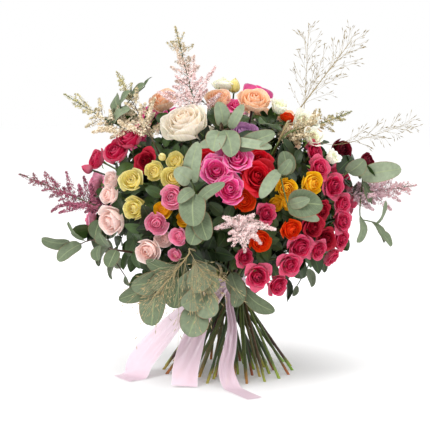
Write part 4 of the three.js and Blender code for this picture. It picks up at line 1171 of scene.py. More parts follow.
@dataclass
class Spray(Item):
    """Flowers of one or two colours on the stalks of one stem, with their sepals and leaves."""

    petals: Petals
    blooms: tuple[Bloom, ...]
    leaflets: int = 4
    second_petals: Petals | None = None
    second_blooms: tuple[int, ...] = (0,)

    def aims(self) -> list[Array]:
        """The bases of its flowers."""
        return [flower.base for flower in self.blooms]

    def sepals(self, flower: Bloom, draft: MeshDraft, rng: Draw) -> None:
        """Adds the swollen calyx and five sepals that curl away from it.

        Args:
            flower: The flower that they hold.
            draft: The mesh that they go into.
            rng: The draw of their curl.
        """
        width = flower.width
        start = flower.base - flower.facing * CALYX_SINK * width
        calyx = np.array([start + flower.facing * width * share for share in CALYX_PLACES])
        draft.tube(calyx, np.array(CALYX_RADII) * width, 8, Layer.SECOND, tint=0.3)
        basis = Basis.along(flower.facing).turned(rng.uniform(0, math.tau))
        base = calyx[2]
        for index in range(SEPALS):
            turn = basis.turned(index * math.tau / SEPALS)
            curl = rng.uniform(*SEPAL_CURL)
            tip = base + (turn.side * SEPAL_LENGTH + flower.facing * curl) * width
            blade = Blade(base, tip, SEPAL_WIDTH * width, -flower.facing, **SEPAL_FORM)
            blade.dress(draft, rng, Layer.SECOND, rng.uniform(0.2, 0.8))

    def leaves(self, path: Array, draft: MeshDraft, rng: Draw) -> None:
        """Adds leaves that leave a stalk below its flower.

        Args:
            path: The stalk's line.
            draft: The mesh that they go into.
            rng: The draw of their sizes and headings.
        """
        out = HEAD.outward(path[-1])
        basis = Basis.along(out).turned(rng.uniform(0, math.tau))
        for index in range(self.leaflets):
            share = LEAVES_FROM + LEAVES_RUN * (index + rng.uniform(0, 1)) / self.leaflets
            place = int(len(path) * share)
            base = path[min(place, len(path) - 2)]
            turned = basis.turned(index * GOLDEN_ANGLE)
            way = unit(turned.side * LEAF_ASIDE + out * rng.uniform(*LEAF_OUT))
            RoseLeaf(base, way, rng.uniform(*ROSE_LEAF_SIZES)).dress(draft, Layer.THIRD, rng)

    @staticmethod
    def stalk(start: Array, arrive: Array, flower: Bloom, steps: int) -> Array:
        """The line of a stalk.

        Args:
            start: Where it begins.
            arrive: The way that the stem runs there.
            flower: The flower that it ends in.
            steps: How many steps it has.

        Returns:
            The points.
        """
        gap = float(np.linalg.norm(flower.base - start))
        leave = start + arrive * gap * STALK_PULL
        near = flower.base - flower.facing * gap * STALK_PULL
        return bezier((start, leave, near, flower.base), steps)

    def dress(self, rng: Draw) -> None:
        """Makes the flowers, and their stem, stalks, sepals and leaflets as a piece of their own."""
        flowers, greens = MeshDraft(), MeshDraft()
        others = MeshDraft() if self.second_petals else flowers
        junction = self.junction()
        arrive = unit(junction - HUB)
        first = self.blooms[0]
        line = self.stalk(junction, arrive, first, MAIN_STALK_STEPS)
        self.stem(greens, line[1:], CALYX_RADIUS * 0.8, rng)
        self.leaves(line, greens, rng)
        for index, flower in enumerate(self.blooms):
            flower.dress(others if index in self.second_blooms else flowers, rng)
            self.sepals(flower, greens, rng)
            if index == 0:
                continue
            leaving = junction + unit(first.base - junction) * (index - 1) * STALK_PITCH
            stalk = self.stalk(leaving, arrive, flower, STALK_STEPS)
            radii = np.linspace(STALK_RADIUS, CALYX_RADIUS * 0.7, len(stalk))
            greens.tube(stalk, radii, 6, tint=rng.uniform(0.0, 0.5))
            self.leaves(stalk, greens, rng)
        seat(flowers, f"{self.name}_flowers", self.name, self.petals.value)
        if self.second_petals:
            seat(others, f"{self.name}_second_flowers", self.name, self.second_petals.value)
        seat(greens, f"{self.name}_stems", self.name, STEM, SEPAL, FOLIAGE)


@dataclass
class Sprig(Item):
    """A eucalyptus twig with its leaves."""

    line: tuple[Array, ...]
    blades: tuple[Blade, ...]

    def aims(self) -> list[Array]:
        """The start of its twig."""
        return [self.line[0]]

    def dress(self, rng: Draw) -> None:
        """Makes the leaves as one piece and the twig as another."""
        leaves, twig = MeshDraft(), MeshDraft()
        self.stem(twig, catmull([self.below[-1], *self.line], 4)[1:], TWIG_RADIUS, rng)
        for blade in self.blades:
            drawn = rng.uniform(0.0, 1.0)
            blade.dress(leaves, rng, Layer.FIRST, drawn if blade.tone is None else blade.tone)
        seat(leaves, f"{self.name}_leaves", self.name, EUCALYPTUS)
        seat(twig, f"{self.name}_twig", self.name, STEM)


def front_leaf(
    base: Array, heading: float, length: float, width: float, pitch: float = 0.0, tone: float | None = None
) -> Blade:
    """A leaf read in the front view.

    Args:
        base: Where it leaves its twig.
        heading: Degrees from the right, turning upwards.
        length: Its length.
        width: Its width.
        pitch: Degrees that its tip comes towards the eye, on top of every leaf's rise.
        tone: How young its colour is, or none to draw it.

    Returns:
        The leaf.
    """
    turn = math.radians(heading)
    tilt = math.radians(pitch + LEAF_RISE)
    flat = np.array([math.cos(turn), 0.0, math.sin(turn)])
    direction = flat * math.cos(tilt) + FRONT * math.sin(tilt)
    normal = unit(HEAD.outward(base) + FRONT * LEAF_FACING)
    return Blade(base, base + direction * length, width, normal, tone=tone)


def front_sprig(name: str, *rows: tuple[Array, float, float, float, float, float]) -> Sprig:
    """A sprig whose twig runs through its leaves' bases in order.

    Args:
        name: Its node.
        *rows: For each leaf, what front_leaf takes.

    Returns:
        The sprig.
    """
    blades = tuple(front_leaf(*row) for row in rows)
    return Sprig(name, tuple(blade.base for blade in blades), blades)


@dataclass(frozen=True)
class RuledLeaves:
    """How the leaf pairs of a ruled sprig lie, as the frame has them."""

    lift: float = 14.0
    bow: float = 0.25
    first: float = 46.0
    shrink: float = 18.0
    width: float = 0.62
    onwards: float = 0.62
    aside: float = 0.72
    rises: Pair = (0.1, 0.4)
    cup: float = 0.3
    end_length: float = 20.0
    end_width: float = 13.0

    def sprig(
        self, name: str, bearing: float, elevation: float, towards: float, length: float, pairs: int
    ) -> Sprig:
        """A sprig that lies over the dome from a start, with leaf pairs that shrink to its tip.

        Args:
            name: Its node.
            bearing: The start's bearing in degrees.
            elevation: The start's elevation in degrees.
            towards: The way that it runs over the dome, in degrees.
            length: Its length.
            pairs: How many leaf pairs it has.

        Returns:
            The sprig.
        """
        start = HEAD.polar(bearing, elevation, self.lift)
        normal = HEAD.outward(start)
        run = Basis.along(normal).turned(math.radians(towards)).side
        across = np.cross(normal, run)
        shares = [index / pairs for index in range(pairs + 1)]
        line = [start + run * s * length + normal * self.bow * length * s * (1 - s) for s in shares]
        blades = []
        for index, base in enumerate(line[:-1]):
            size = self.first - self.shrink * index / pairs
            for hand in (-1, 1):
                way = run * self.onwards + across * hand * self.aside + normal * self.rises[index % 2]
                face = normal + across * hand * self.cup
                blades.append(Blade(base, base + unit(way) * size, size * self.width, face))
        blades.append(Blade(line[-1], line[-1] + run * self.end_length, self.end_width, normal))
        return Sprig(name, tuple(line), tuple(blades))


@dataclass(frozen=True)
class Spike:
    """One spike of a plume: its share up the axis, its base, its way and its length."""

    share: float
    base: Array
    way: Array
    length: float


@dataclass(frozen=True)
class PlumeHead:
    """One plume of an astilbe: its axis and the spikes that it carries, longest low down."""

    start: Array
    tip: Array
    pairs: int
    reach: float
    spread: float = 0.85
    bare: float = 0.06
    onwards: float = 0.7
    end: float = 0.86
    taper: float = 0.75
    rows: int = 4
    row_turn: float = 1.7
    short: Pair = (0.4, 0.75)
    second: float = 0.88
    crown: Pair = (0.7, 0.3)

    def spikes(self, rng: Draw) -> list[Spike]:
        """The spikes: the frame's pairs, shorter ones in rows between them, and one at the tip.

        Args:
            rng: The draw of the lengths of the short ones.

        Returns:
            The spikes.
        """
        axis = self.tip - self.start
        basis = Basis.along(axis)
        out = []
        rounds = self.pairs * self.rows
        for index in range(rounds):
            share = self.bare + (self.end - self.bare) * index / rounds
            own = index % self.rows == 0
            step = index // self.rows if own else index * self.row_turn
            for half in range(2):
                turned = basis.turned(step * GOLDEN_ANGLE + half * math.pi)
                way = unit(turned.side * self.spread + turned.forward * self.onwards)
                length = self.reach * (1 - self.taper * share) * (1.0 if own else rng.uniform(*self.short))
                length = length * (self.second if half else 1.0)
                out.append(Spike(share, self.start + axis * share, way, length))
        share, part = self.crown
        length = float(np.linalg.norm(axis)) * part
        out.append(Spike(share, self.start + axis * share, basis.forward, length))
        return out


# A floret's rim: four points with notches between them, round a middle that lies deeper
RIM = 8
NOTCH = 0.3
CUP_DEPTH = 0.45
STAR = np.array([[math.cos(k * math.tau / RIM), math.sin(k * math.tau / RIM)] for k in range(RIM)])
STAR *= np.where(np.arange(RIM) % 2, NOTCH, 1.0)[:, None]


def stars(centres: Array, ways: Array, sizes: Array, rng: Draw) -> tuple[Array, Array]:
    """Small four-pointed florets.

    Args:
        centres: Their middles.
        ways: The way that each faces.
        sizes: The reach of their points.
        rng: The draw of their turns.

    Returns:
        The points, one more for each floret than its rim has, and the triangles.
    """
    count = len(centres)
    helper = rng.normal(size=(count, 3))
    side = units(helper - (helper * ways).sum(axis=1, keepdims=True) * ways)
    other = np.cross(ways, side)
    rim = STAR[None, :, :1] * side[:, None] + STAR[None, :, 1:] * other[:, None]
    rim = rim + ways[:, None] * (CUP_DEPTH * np.linalg.norm(STAR, axis=1))[None, :, None]
    rim = centres[:, None] + rim * sizes[:, None, None]
    points = np.concatenate([rim, centres[:, None]], axis=1)
    fan = np.array([[k, (k + 1) % RIM, RIM] for k in range(RIM)])
    triangles = (fan[None] + (np.arange(count) * (RIM + 1))[:, None, None]).reshape(-1, 3)
    return points.reshape(-1, 3), triangles


PLUME_LEAF_SIZES = (60, 80)
PLUME_LEAF_OUT = 0.25
BRANCH_TINTS = (0.3, 0.9)


@dataclass
class Astilbe(Item):
    """A stem with one or two plumes of tiny florets."""

    plume: Plume
    heads: tuple[PlumeHead, ...]
    floret: float = 2.7
    pitch: float = 0.19
    fluff: Pair = (1.3, 9.0)
    leaves: int = 3
    closed: float = 1.0
    thinning: float = 0.85
    crowding: float = 0.7
    full_spike: float = 40.0
    closing: float = 0.6
    size_play: Pair = (0.6, 1.15)
    shrink: float = 0.35
    tip_radius: float = 0.5
    axis_radii: Pair = (1.4, 0.4)
    branch_radii: Pair = (0.5, 0.2)
    sway: float = 0.04

    def aims(self) -> list[Array]:
        """The start of its first plume."""
        return [self.heads[0].start]

    def florets(self, spike: Spike, height: float, fluff: MeshDraft, rng: Draw) -> None:
        """Adds the florets round a spike, in a cloud that is widest at its base.

        Args:
            spike: The spike.
            height: The length of the plume's axis.
            fluff: The mesh that they go into.
            rng: The draw of their places.
        """
        way, length = spike.way, spike.length
        count = int(length / self.pitch * (1 - self.thinning * spike.share))
        share = rng.uniform(0.06, 1.0, count) ** self.crowding
        centre = spike.base + way * (share * length)[:, None]
        away = rng.normal(size=(count, 3))
        away = units(away - (away @ way)[:, None] * way)
        narrow, wide = self.fluff
        room = narrow + wide * (1 - share) * min(1.0, length / self.full_spike)
        centre = centre + away * (room * rng.uniform(0.2, 1.0, count))[:, None]
        facing = units(away + way * 0.5 + rng.normal(size=(count, 3)) * 0.3)
        up = np.clip(self.closed * (spike.share + self.closing * share * length / height), 0.0, 1.0)
        sizes = self.floret * rng.uniform(*self.size_play, count) * (1 - self.shrink * up)
        points, triangles = stars(centre, facing, sizes, rng)
        tints = np.repeat(rng.uniform(0.0, 1.0, count), RIM + 1)
        fluff.faces(points, triangles, along=np.repeat(up, RIM + 1), tint=tints)

    def dress(self, rng: Draw) -> None:
        """Makes the florets as one piece, and the stem with its fine branches as another."""
        fluff, stalks = MeshDraft(), MeshDraft()
        for number, head in enumerate(self.heads):
            line = catmull([self.below[-1], head.start, (head.start + head.tip) / 2, head.tip], 6)
            if number == 0:
                self.stem(stalks, line[1:], self.tip_radius, rng)
            else:
                radii = np.linspace(*self.axis_radii, len(line))
                stalks.tube(line, radii, 6, tint=rng.uniform(*BRANCH_TINTS))
            height = float(np.linalg.norm(head.tip - head.start))
            for spike in head.spikes(rng):
                straight = spike.base + spike.way * SHARES * spike.length
                path = bar_sway(straight, rng, self.sway * spike.length)
                radii = np.linspace(*self.branch_radii, len(path))
                stalks.tube(path, radii, 4, tint=rng.uniform(*BRANCH_TINTS))
                self.florets(spike, height, fluff, rng)
            for index in range(self.leaves):
                base = line[2 + index % 4]
                out = HEAD.outward(head.start)
                turned = Basis.along(out).turned(index * GOLDEN_ANGLE + number)
                way = unit(turned.side * LEAF_ASIDE + out * PLUME_LEAF_OUT)
                RoseLeaf(base, way, rng.uniform(*PLUME_LEAF_SIZES)).dress(stalks, Layer.SECOND, rng)
        seat(fluff, f"{self.name}_florets", self.name, self.plume.value)
        seat(stalks, f"{self.name}_stem", self.name, STEM, FOLIAGE)


@dataclass(frozen=True)
class Panicle:
    """One panicle of fountain grass."""

    start: Array
    tip: Array
    branches: int
    reach: float
    spread: float = 0.5
    wisps: int = 0
    wisp: float = 80.0
    first: float = 0.08
    run: float = 0.9
    taper: float = 0.5
    droop: Pair = (0.12, 0.06)
    sag: float = 0.3
    sway: float = 3.0


@dataclass
class Grass(Item):
    """A grass stem with its panicles of hair-thin branches that end in spikelets."""

    origin: Array
    panicles: tuple[Panicle, ...]
    hair: float = 0.24
    branch_hair: Pair = (1.0, 0.6)
    wisp_hair: Pair = (1.3, 0.7)
    spikelet: float = 5.0
    grains: tuple[int, ...] = (2, 3, 4, 5, 5, 6)
    tints: Pair = (0.0, 0.5)
    tip_radius: float = 0.3
    axis_radii: Pair = (0.5, 0.25)
    scatter: float = 0.45
    side_lengths: Pair = (5, 15)
    end_length: float = 2.0
    side_hair: float = 0.55
    bow: float = 0.6
    grain_places: tuple[float, ...] = (0.0, 0.5, 1.3)
    grain_radii: tuple[float, ...] = (0.2, 0.62, 0.1)

    def aims(self) -> list[Array]:
        """Where its panicles leave the stem."""
        return [self.origin]

    def dress(self, rng: Draw) -> None:
        """Makes the whole grass as one piece."""
        straw = MeshDraft()
        for number, panicle in enumerate(self.panicles):
            line = catmull([self.below[-1], self.origin, panicle.start, panicle.tip], 6)
            if number == 0:
                self.stem(straw, line[1:], self.tip_radius, rng)
            else:
                radii = np.linspace(*self.axis_radii, len(line) - 6)
                straw.tube(line[6:], radii, 5, tint=rng.uniform(0.2, 0.8))
            axis = panicle.tip - panicle.start
            basis = Basis.along(axis)
            for index in range(panicle.branches):
                share = panicle.first + panicle.run * index / panicle.branches
                base = panicle.start + axis * share
                turned = basis.turned(index * GOLDEN_ANGLE)
                way = unit(turned.side * panicle.spread * rng.uniform(0.6, 1.2) + turned.forward)
                length = panicle.reach * (1 - panicle.taper * share) * rng.uniform(0.75, 1.05)
                droop = turned.side * panicle.droop[0] - UP * panicle.droop[1]
                path = base + way * SHARES * length + droop * SHARES**2 * length
                self.strand(path, self.branch_hair, straw, rng)
            for index in range(panicle.wisps):
                turned = basis.turned(index * GOLDEN_ANGLE + 0.7)
                way = unit(turned.side * rng.uniform(0.5, 1.3) + turned.forward)
                base = panicle.start + axis * rng.uniform(0.0, 0.5)
                length = panicle.wisp * rng.uniform(0.6, 1.1)
                path = base + way * SHARES * length - UP * SHARES**2 * length * panicle.sag
                path = bar_sway(path, rng, panicle.sway)
                self.strand(path, self.wisp_hair, straw, rng)
        seat(straw, f"{self.name}_straw", self.name, STRAW)

    def strand(self, path: Array, widths: Pair, straw: MeshDraft, rng: Draw) -> None:
        """Adds a branch or wisp and its side hairs, each with its spikelet.

        Args:
            path: Its line.
            widths: Its width at both ends, in hairs.
            straw: The mesh that it goes into.
            rng: The draw of its tone and its side hairs.
        """
        radii = np.linspace(self.hair * widths[0], self.hair * widths[1], len(path))
        straw.tube(path, radii, 3, tint=rng.uniform(0.3, 1.0))
        for place in self.grains:
            here = path[place]
            way = unit(unit(path[-1] - path[0]) + rng.normal(size=3) * self.scatter)
            length = rng.uniform(*self.side_lengths) if place < len(path) - 1 else self.end_length
            tip = here + way * length
            side = np.array([here, (here + tip) / 2 + UP * self.bow, tip])
            straw.tube(side, self.hair * self.side_hair, 3, tint=0.7)
            grain = np.array([tip + way * self.spikelet * share for share in self.grain_places])
            straw.tube(grain, np.array(self.grain_radii), 4, tint=rng.uniform(*self.tints))


FRONT_SPRAYS = (
    Spray("peach_rose_left", Petals.PEACH, (cup(dome(-83, 186), 45, 0.8),), 8),
    Spray("peach_rose_middle", Petals.PEACH, (cup(dome(5, 189, -10), 38),)),
    Spray("peach_rose_right", Petals.PEACH, (cup(dome(64, 186), 46),)),
    Spray("cream_rose", Petals.CREAM, (rose(dome(-51, 154), 68, -0.22),), 8),
    Spray("lavender_rose", Petals.LAVENDER, (cup(dome(46, 133, -26), 40),)),
    Spray(
        "hot_pink_roses_front",
        Petals.HOT_PINK,
        (rose(dome(2, 72, 8), 46), rose(dome(35, 91, 8), 50), rose(dome(24, 42, 4), 46)),
    ),
    Spray("red_roses_front", Petals.RED, (rose(dome(69, 62), 51), rose(dome(72, 90, -14), 40))),
    Spray("red_rose_left", Petals.RED, (rose(dome(-13, 90, -18), 40),), 6),
    Spray(
        "yellow_roses_right",
        Petals.YELLOW,
        (
            cup(dome(115, 42), 34),
            cup(dome(157, 50), 35),
            cup(dome(117, 19, -16), 26),
            cup(dome(98, 18, -20), 24),
        ),
    ),
    Spray("raspberry_rose_centre", Petals.RASPBERRY, (rose(dome(83, 2, -6), 34),)),
    Spray("orange_rose_upper", Petals.ORANGE, (cup(dome(46, 24, -8), 35),)),
    Spray("orange_roses_lower", Petals.ORANGE, (cup(dome(123, -24), 35), cup(dome(72, -42, -6), 35))),
    Spray("pink_rose_left", Petals.PINK, (cup(dome(-69, 29), 39),)),
    Spray(
        "pale_yellow_spray_upper",
        Petals.PALE_YELLOW,
        (
            cup(dome(-134, 56), 38),
            cup(dome(-98, 70, -8), 30),
            cup(dome(-64, 87, -14), 29),
            cup(dome(-67, 61, -10), 35),
            bud(dome(-85, 93, -4), 14),
        ),
    ),
    Spray(
        "pink_spray_left",
        Petals.PINK,
        (
            cup(dome(-94, -13), 35),
            cup(dome(-59, -35), 30),
            cup(dome(-82, -39, -12), 29),
            cup(dome(-64, -64, -8), 22),
            cup(dome(-109, -58), 38),
        ),
        second_petals=Petals.BLUSH,
        second_blooms=(2, 4),
    ),
    Spray(
        "yellow_spray_left",
        Petals.YELLOW,
        (cup(dome(-130, 10, -4), 38), cup(dome(-84, 9, -22), 30), cup(dome(-50, -6, -26), 26)),
        second_petals=Petals.PALE_YELLOW,
    ),
    Spray(
        "blush_spray_left",
        Petals.BLUSH,
        (cup(dome(-168, 56, -12), 32), cup(dome(-171, 33), 34), cup(dome(-168, -11), 48)),
    ),
    Spray("crimson_rose_left", Petals.CRIMSON, (rose(dome(-112, 87, -18), 35),), 8),
    Spray(
        "raspberry_spray_left",
        Petals.RASPBERRY,
        (
            cup(dome(-138, 125), 45),
            cup(dome(-160, 103), 40),
            cup(dome(-192, 90), 33),
            bud(dome(-204, 74), 16),
        ),
    ),
    Spray(
        "lisianthus_spray_right",
        Petals.WHITE,
        (
            bell(dome(104, 176), 32),
            bell(dome(144, 148), 45),
            bell(dome(158, 125, 6), 32),
            bell(dome(190, 93, 6), 26),
        ),
        6,
    ),
    Spray("orange_rose_top", Petals.ORANGE, (cup(dome(117, 158, -14), 24),)),
    Spray(
        "burgundy_spray_right",
        Petals.BURGUNDY,
        (cup(dome(204, 104), 37, 1.1), cup(dome(246, 85), 28, 0.8)),
        8,
    ),
    Spray(
        "raspberry_spray_right",
        Petals.RASPBERRY,
        (
            rose(dome(162, 102, -4), 34),
            rose(dome(168, 74), 42),
            rose(dome(192, 46), 41),
            rose(dome(206, 18), 36),
        ),
    ),
    Spray(
        "crimson_spray_right",
        Petals.CRIMSON,
        (rose(dome(171, 5, -8), 38), rose(dome(158, -20), 38), rose(dome(180, -38, -4), 36)),
    ),
    Spray(
        "raspberry_spray_lower",
        Petals.RASPBERRY,
        (rose(dome(206, -9), 38), rose(dome(204, -38), 34), rose(dome(189, -70), 34, -0.3)),
        1,
    ),
    Spray(
        "raspberry_spray_low",
        Petals.RASPBERRY,
        (
            rose(dome(138, -52), 41),
            rose(dome(167, -58, 4), 33),
            rose(dome(121, -80, 4), 36),
            rose(dome(102, -114, 6), 36),
            rose(dome(69, -99, 6), 42),
            rose(dome(49, -68, -16), 28),
        ),
        0,
    ),
    Spray(
        "white_spray_top",
        Petals.WHITE,
        (rose(dome(13, 214), 36), bud(dome(31, 206), 20)),
        second_petals=Petals.PALE_YELLOW,
        second_blooms=(1,),
    ),
    Spray(
        "hot_pink_spray_top",
        Petals.HOT_PINK,
        (rose(plane(70, 198, 40), 46), rose(dome(36, 176, -20), 34)),
    ),
)


@dataclass(frozen=True)
class BackRule:
    """How the blooms of a back spray are set round its middle, as the frame has them."""

    first_step: float = 0.4
    shrink: float = 0.06
    sizes: int = 3

    def spray(
        self,
        name: str,
        petals: Petals,
        bearing: float,
        elevation: float,
        count: int,
        width: float = 39.0,
        spread: float = 22.5,
        straight: float = STRAIGHT_ABOVE,
    ) -> Spray:
        """A spray at the back.

        Args:
            name: Its node.
            petals: Its colour.
            bearing: Its middle's bearing in degrees.
            elevation: Its middle's elevation in degrees.
            count: How many blooms it has.
            width: The width of the largest.
            spread: How far apart they are set.
            straight: How far its stem runs on above the tie before it bends.

        Returns:
            The spray.
        """
        centre = HEAD.polar(bearing, elevation)
        basis = Basis.along(HEAD.outward(centre))
        blooms = []
        for index in range(count):
            turned = basis.turned(index * GOLDEN_ANGLE)
            spot = centre + turned.side * spread * math.sqrt(index + self.first_step)
            ray = spot - HEAD.centre
            point = HEAD.centre + ray / np.linalg.norm(ray / HEAD.radii)
            blooms.append(rose(point, width * (1 - self.shrink * (index % self.sizes))))
        return Spray(name, petals, tuple(blooms), straight=straight)


BACK = BackRule()
BACK_SPRAYS = (
    BACK.spray("raspberry_spray_back", Petals.RASPBERRY, 18, 8, 6),
    BACK.spray("peach_spray_back", Petals.PEACH, 46, 44, 5, 46, 26),
    BACK.spray("red_spray_back", Petals.RED, 56, 2, 6, 44, 25),
    BACK.spray("cream_spray_back", Petals.CREAM, 92, 34, 5, 50, 29),
    BACK.spray("orange_spray_back", Petals.ORANGE, 90, -14, 6),
    BACK.spray("hot_pink_spray_back", Petals.HOT_PINK, 136, 42, 5, 46, 26, 38.0),
    BACK.spray("yellow_spray_back", Petals.PALE_YELLOW, 124, 4, 6, 39, 24),
    BACK.spray("pink_spray_back", Petals.PINK, 160, 2, 6),
)

FRONT_SPRIGS = (
    front_sprig(
        "eucalyptus_crown",
        (dome(12, 142, 14), 100, 42, 24, 10, 0.75),
        (dome(8, 134, 16), 250, 42, 30, 30, 0.8),
        (dome(16, 136, 18), 285, 48, 32, 20, 0.6),
        (dome(24, 138, 14), 62, 46, 17, 10, 0.85),
        (dome(22, 119, 12), 352, 66, 16, 0, 0.95),
        (dome(18, 126, 10), 200, 44, 18, 0, 0.95),
        (dome(36, 106, 4), 24, 62, 26, 0, 0.5),
    ),
    front_sprig(
        "eucalyptus_centre_left",
        (dome(-36, 50, 8), 82, 68, 26, 5, 0.8),
        (dome(-38, 54, 12), 140, 38, 28, 20, 1.0),
        (dome(-34, 40, 12), 215, 34, 18, 20, 0.6),
        (dome(-34, 34, 10), 270, 52, 40, 15, 0.4),
        (dome(-28, 20, 6), 38, 56, 17, 10, 0.5),
        (dome(-24, 6, 4), 285, 46, 30, 10, 0.3),
        (dome(-20, -6, 2), 245, 44, 32, 10, 0.35),
    ),
    front_sprig(
        "eucalyptus_centre_right",
        (dome(112, 62, -8), 95, 40, 30, 0, 0.35),
        (dome(103, 72, 6), 233, 54, 20, 10, 0.9),
        (dome(104, 66, 8), 55, 30, 18, 10, 0.5),
        (dome(116, 16, 8), 4, 58, 42, 15, 0.3),
        (dome(120, 17, 14), 24, 42, 18, 30, 0.6),
        (dome(122, 6, 4), 345, 46, 16, 10, 1.0),
    ),
    front_sprig(
        "eucalyptus_right",
        (plane(212, 68, -60), 40, 34, 32, 0, 0.5),
        (plane(232, 62, -40), 12, 66, 32, 0, 0.9),
        (plane(236, 54, -30), 285, 36, 26, 4, 0.2),
        (plane(232, -2, -40), 262, 44, 24, 10, 0.6),
        (plane(250, -10, -30), 300, 40, 18, 0, 0.4),
        (plane(256, -16, -30), 70, 44, 14, 0, 0.5),
        (plane(260, -24, -30), 310, 34, 20, 0, 0.4),
    ),
    front_sprig(
        "eucalyptus_left",
        (dome(-158, -56, 4), 245, 30, 26, 10, 0.2),
        (plane(-168, -52, -60), 120, 34, 30, 10, 0.25),
        (plane(-184, -48, -50), 265, 26, 30, 10, 0.3),
        (plane(-192, -40, -40), 75, 34, 32, 0, 0.2),
        (plane(-206, -42, -35), 130, 44, 14, 0, 0.3),
        (plane(-214, -46, -30), 215, 46, 26, 0, 0.4),
        (plane(-232, -44, -25), 170, 46, 30, 0, 0.3),
    ),
    front_sprig(
        "eucalyptus_low_left",
        (plane(-48, -86, -150), 165, 62, 26, 0, 0.3),
        (plane(-54, -90, -146), 258, 58, 44, 6, 0.25),
        (plane(-62, -96, -148), 200, 44, 34, 0, 0.4),
        (plane(-84, -100, -145), 190, 52, 40, 10, 0.45),
        (plane(-98, -112, -140), 200, 58, 28, 0, 0.3),
        (plane(-96, -118, -140), 265, 58, 44, 10, 0.4),
    ),
    front_sprig(
        "eucalyptus_low_front",
        (plane(-8, -74, -158), 235, 56, 40, 10, 0.6),
        (plane(-16, -92, -160), 200, 48, 34, 10, 0.55),
        (plane(-14, -98, -162), 320, 30, 38, 20, 0.5),
        (plane(-22, -118, -160), 215, 44, 40, 20, 0.65),
        (plane(-18, -128, -160), 300, 38, 44, 15, 0.7),
        (plane(-28, -150, -158), 250, 46, 46, 15, 0.6),
    ),
    front_sprig(
        "eucalyptus_low_right",
        (plane(26, -92, -120), 295, 44, 28, 0, 0.4),
        (plane(36, -100, -118), 265, 46, 26, 0, 0.35),
        (plane(44, -116, -112), 325, 62, 28, 0, 0.3),
    ),
)

RULED = RuledLeaves()
BACK_SPRIGS = (
    RULED.sprig("eucalyptus_top_left", 198, 40, 100, 86, 3),
    RULED.sprig("eucalyptus_back_right", 40, -16, 285, 96, 3),
    RULED.sprig("eucalyptus_back_left", 151, -12, 247, 94, 3),
    RULED.sprig("eucalyptus_back_middle", 84, 16, 200, 100, 4),
)

ASTILBES = (
    Astilbe("astilbe_pale_top", Plume.PALE, (PlumeHead(dome(-26, 150, -20), plane(-64, 302, 0), 5, 74),)),
    Astilbe(
        "astilbe_cream_left",
        Plume.CREAM,
        (
            PlumeHead(dome(-126, 122, -10), plane(-242, 194, 0), 4, 56),
            PlumeHead(dome(-100, 120, -12), plane(-158, 230, 0), 4, 56),
        ),
    ),
    Astilbe(
        "astilbe_crimson_left",
        Plume.CRIMSON,
        (PlumeHead(dome(-170, 6, -30), plane(-314, 66, 0), 5, 66),),
    ),
    Astilbe(
        "astilbe_pale_front",
        Plume.PALE,
        (PlumeHead(dome(44, -8, -4), dome(46, -40, 34), 5, 52, spread=1.5, bare=0.0),),
        closed=0.45,
    ),
    Astilbe(
        "astilbe_lilac_right",
        Plume.LILAC,
        (PlumeHead(plane(208, 30, -20), plane(323, 48, 0), 5, 62),),
        pitch=0.15,
        fluff=(1.6, 11.0),
    ),
    Astilbe(
        "astilbe_beige_right",
        Plume.BEIGE,
        (PlumeHead(dome(104, 120, -14), plane(219, 166, 0), 5, 56, taper=0.84),),
        pitch=0.24,
    ),
    Astilbe(
        "astilbe_pale_back",
        Plume.PALE,
        (PlumeHead(HEAD.polar(76, 44, -10), HEAD.polar(70, 44, 70), 5, 58),),
    ),
    Astilbe(
        "astilbe_crimson_back",
        Plume.CRIMSON,
        (PlumeHead(HEAD.polar(112, -2, -14), HEAD.polar(110, 0, 50), 5, 54),),
    ),
)

GRASSES = (
    Grass(
        "grass_right",
        dome(112, 140, 4),
        (
            Panicle(plane(128, 160, -20), plane(219, 280, 20), 26, 70),
            Panicle(plane(140, 150, -20), plane(150, 300, 30), 16, 54),
            Panicle(plane(190, 112, -30), plane(314, 147, 0), 16, 40),
        ),
    ),
    Grass(
        "grass_low_front",
        dome(-40, -54, 14),
        (
            Panicle(dome(-44, -66, 26), plane(-104, -139, -186), 18, 46, wisps=20, wisp=84.0),
            Panicle(dome(-36, -66, 30), plane(-6, -118, -196), 16, 44, wisps=18, wisp=76.0),
        ),
        grains=(2, 4, 5, 6),
        tints=(0.5, 1.0),
    ),
)


@dataclass(frozen=True)
class StemRing:
    """A ring of stems at the tie: straight lines on a hyperboloid, so that they pass without meeting."""

    radius: float
    slope: float
    count: int

    def slot(self, place: float) -> float:
        """The bearing of a place on the ring, in radians."""
        return place / self.count * math.tau

    def best_turn(self, members: Sequence[Item]) -> float:
        """The turn that brings the ring's places nearest to where its members' branches lie."""

        def miss(turn: float) -> float:
            """The sum of squared bearings that a turn leaves."""
            total = 0.0
            for index, item in enumerate(members):
                gap = bearing_of(item.junction()) - self.slot(index + turn) - TURN_ABOVE
                total += math.atan2(math.sin(gap), math.cos(gap)) ** 2
            return total

        turns = [index / TURNS_TRIED for index in range(TURNS_TRIED * self.count)]
        return min(turns, key=miss)

    def route(self, item: Item, place: float) -> Array:
        """The line of an item's stem from its foot to its junction.

        Args:
            item: The item.
            place: Its place on the ring.

        Returns:
            The points.
        """
        angle = self.slot(place)
        waist = np.array([math.cos(angle) * self.radius, math.sin(angle) * self.radius, TIE_HEIGHT])
        run = np.array([-math.sin(angle) * self.slope, math.cos(angle) * self.slope, 1.0])
        above = waist + run * item.straight
        junction = item.junction()
        arrive = unit(junction - HUB)
        bend = bezier((above, above + run * STRAIGHT_ABOVE, junction - arrive * ARRIVAL, junction), 12)
        return np.vstack([waist - run * TIE_HEIGHT, bend])


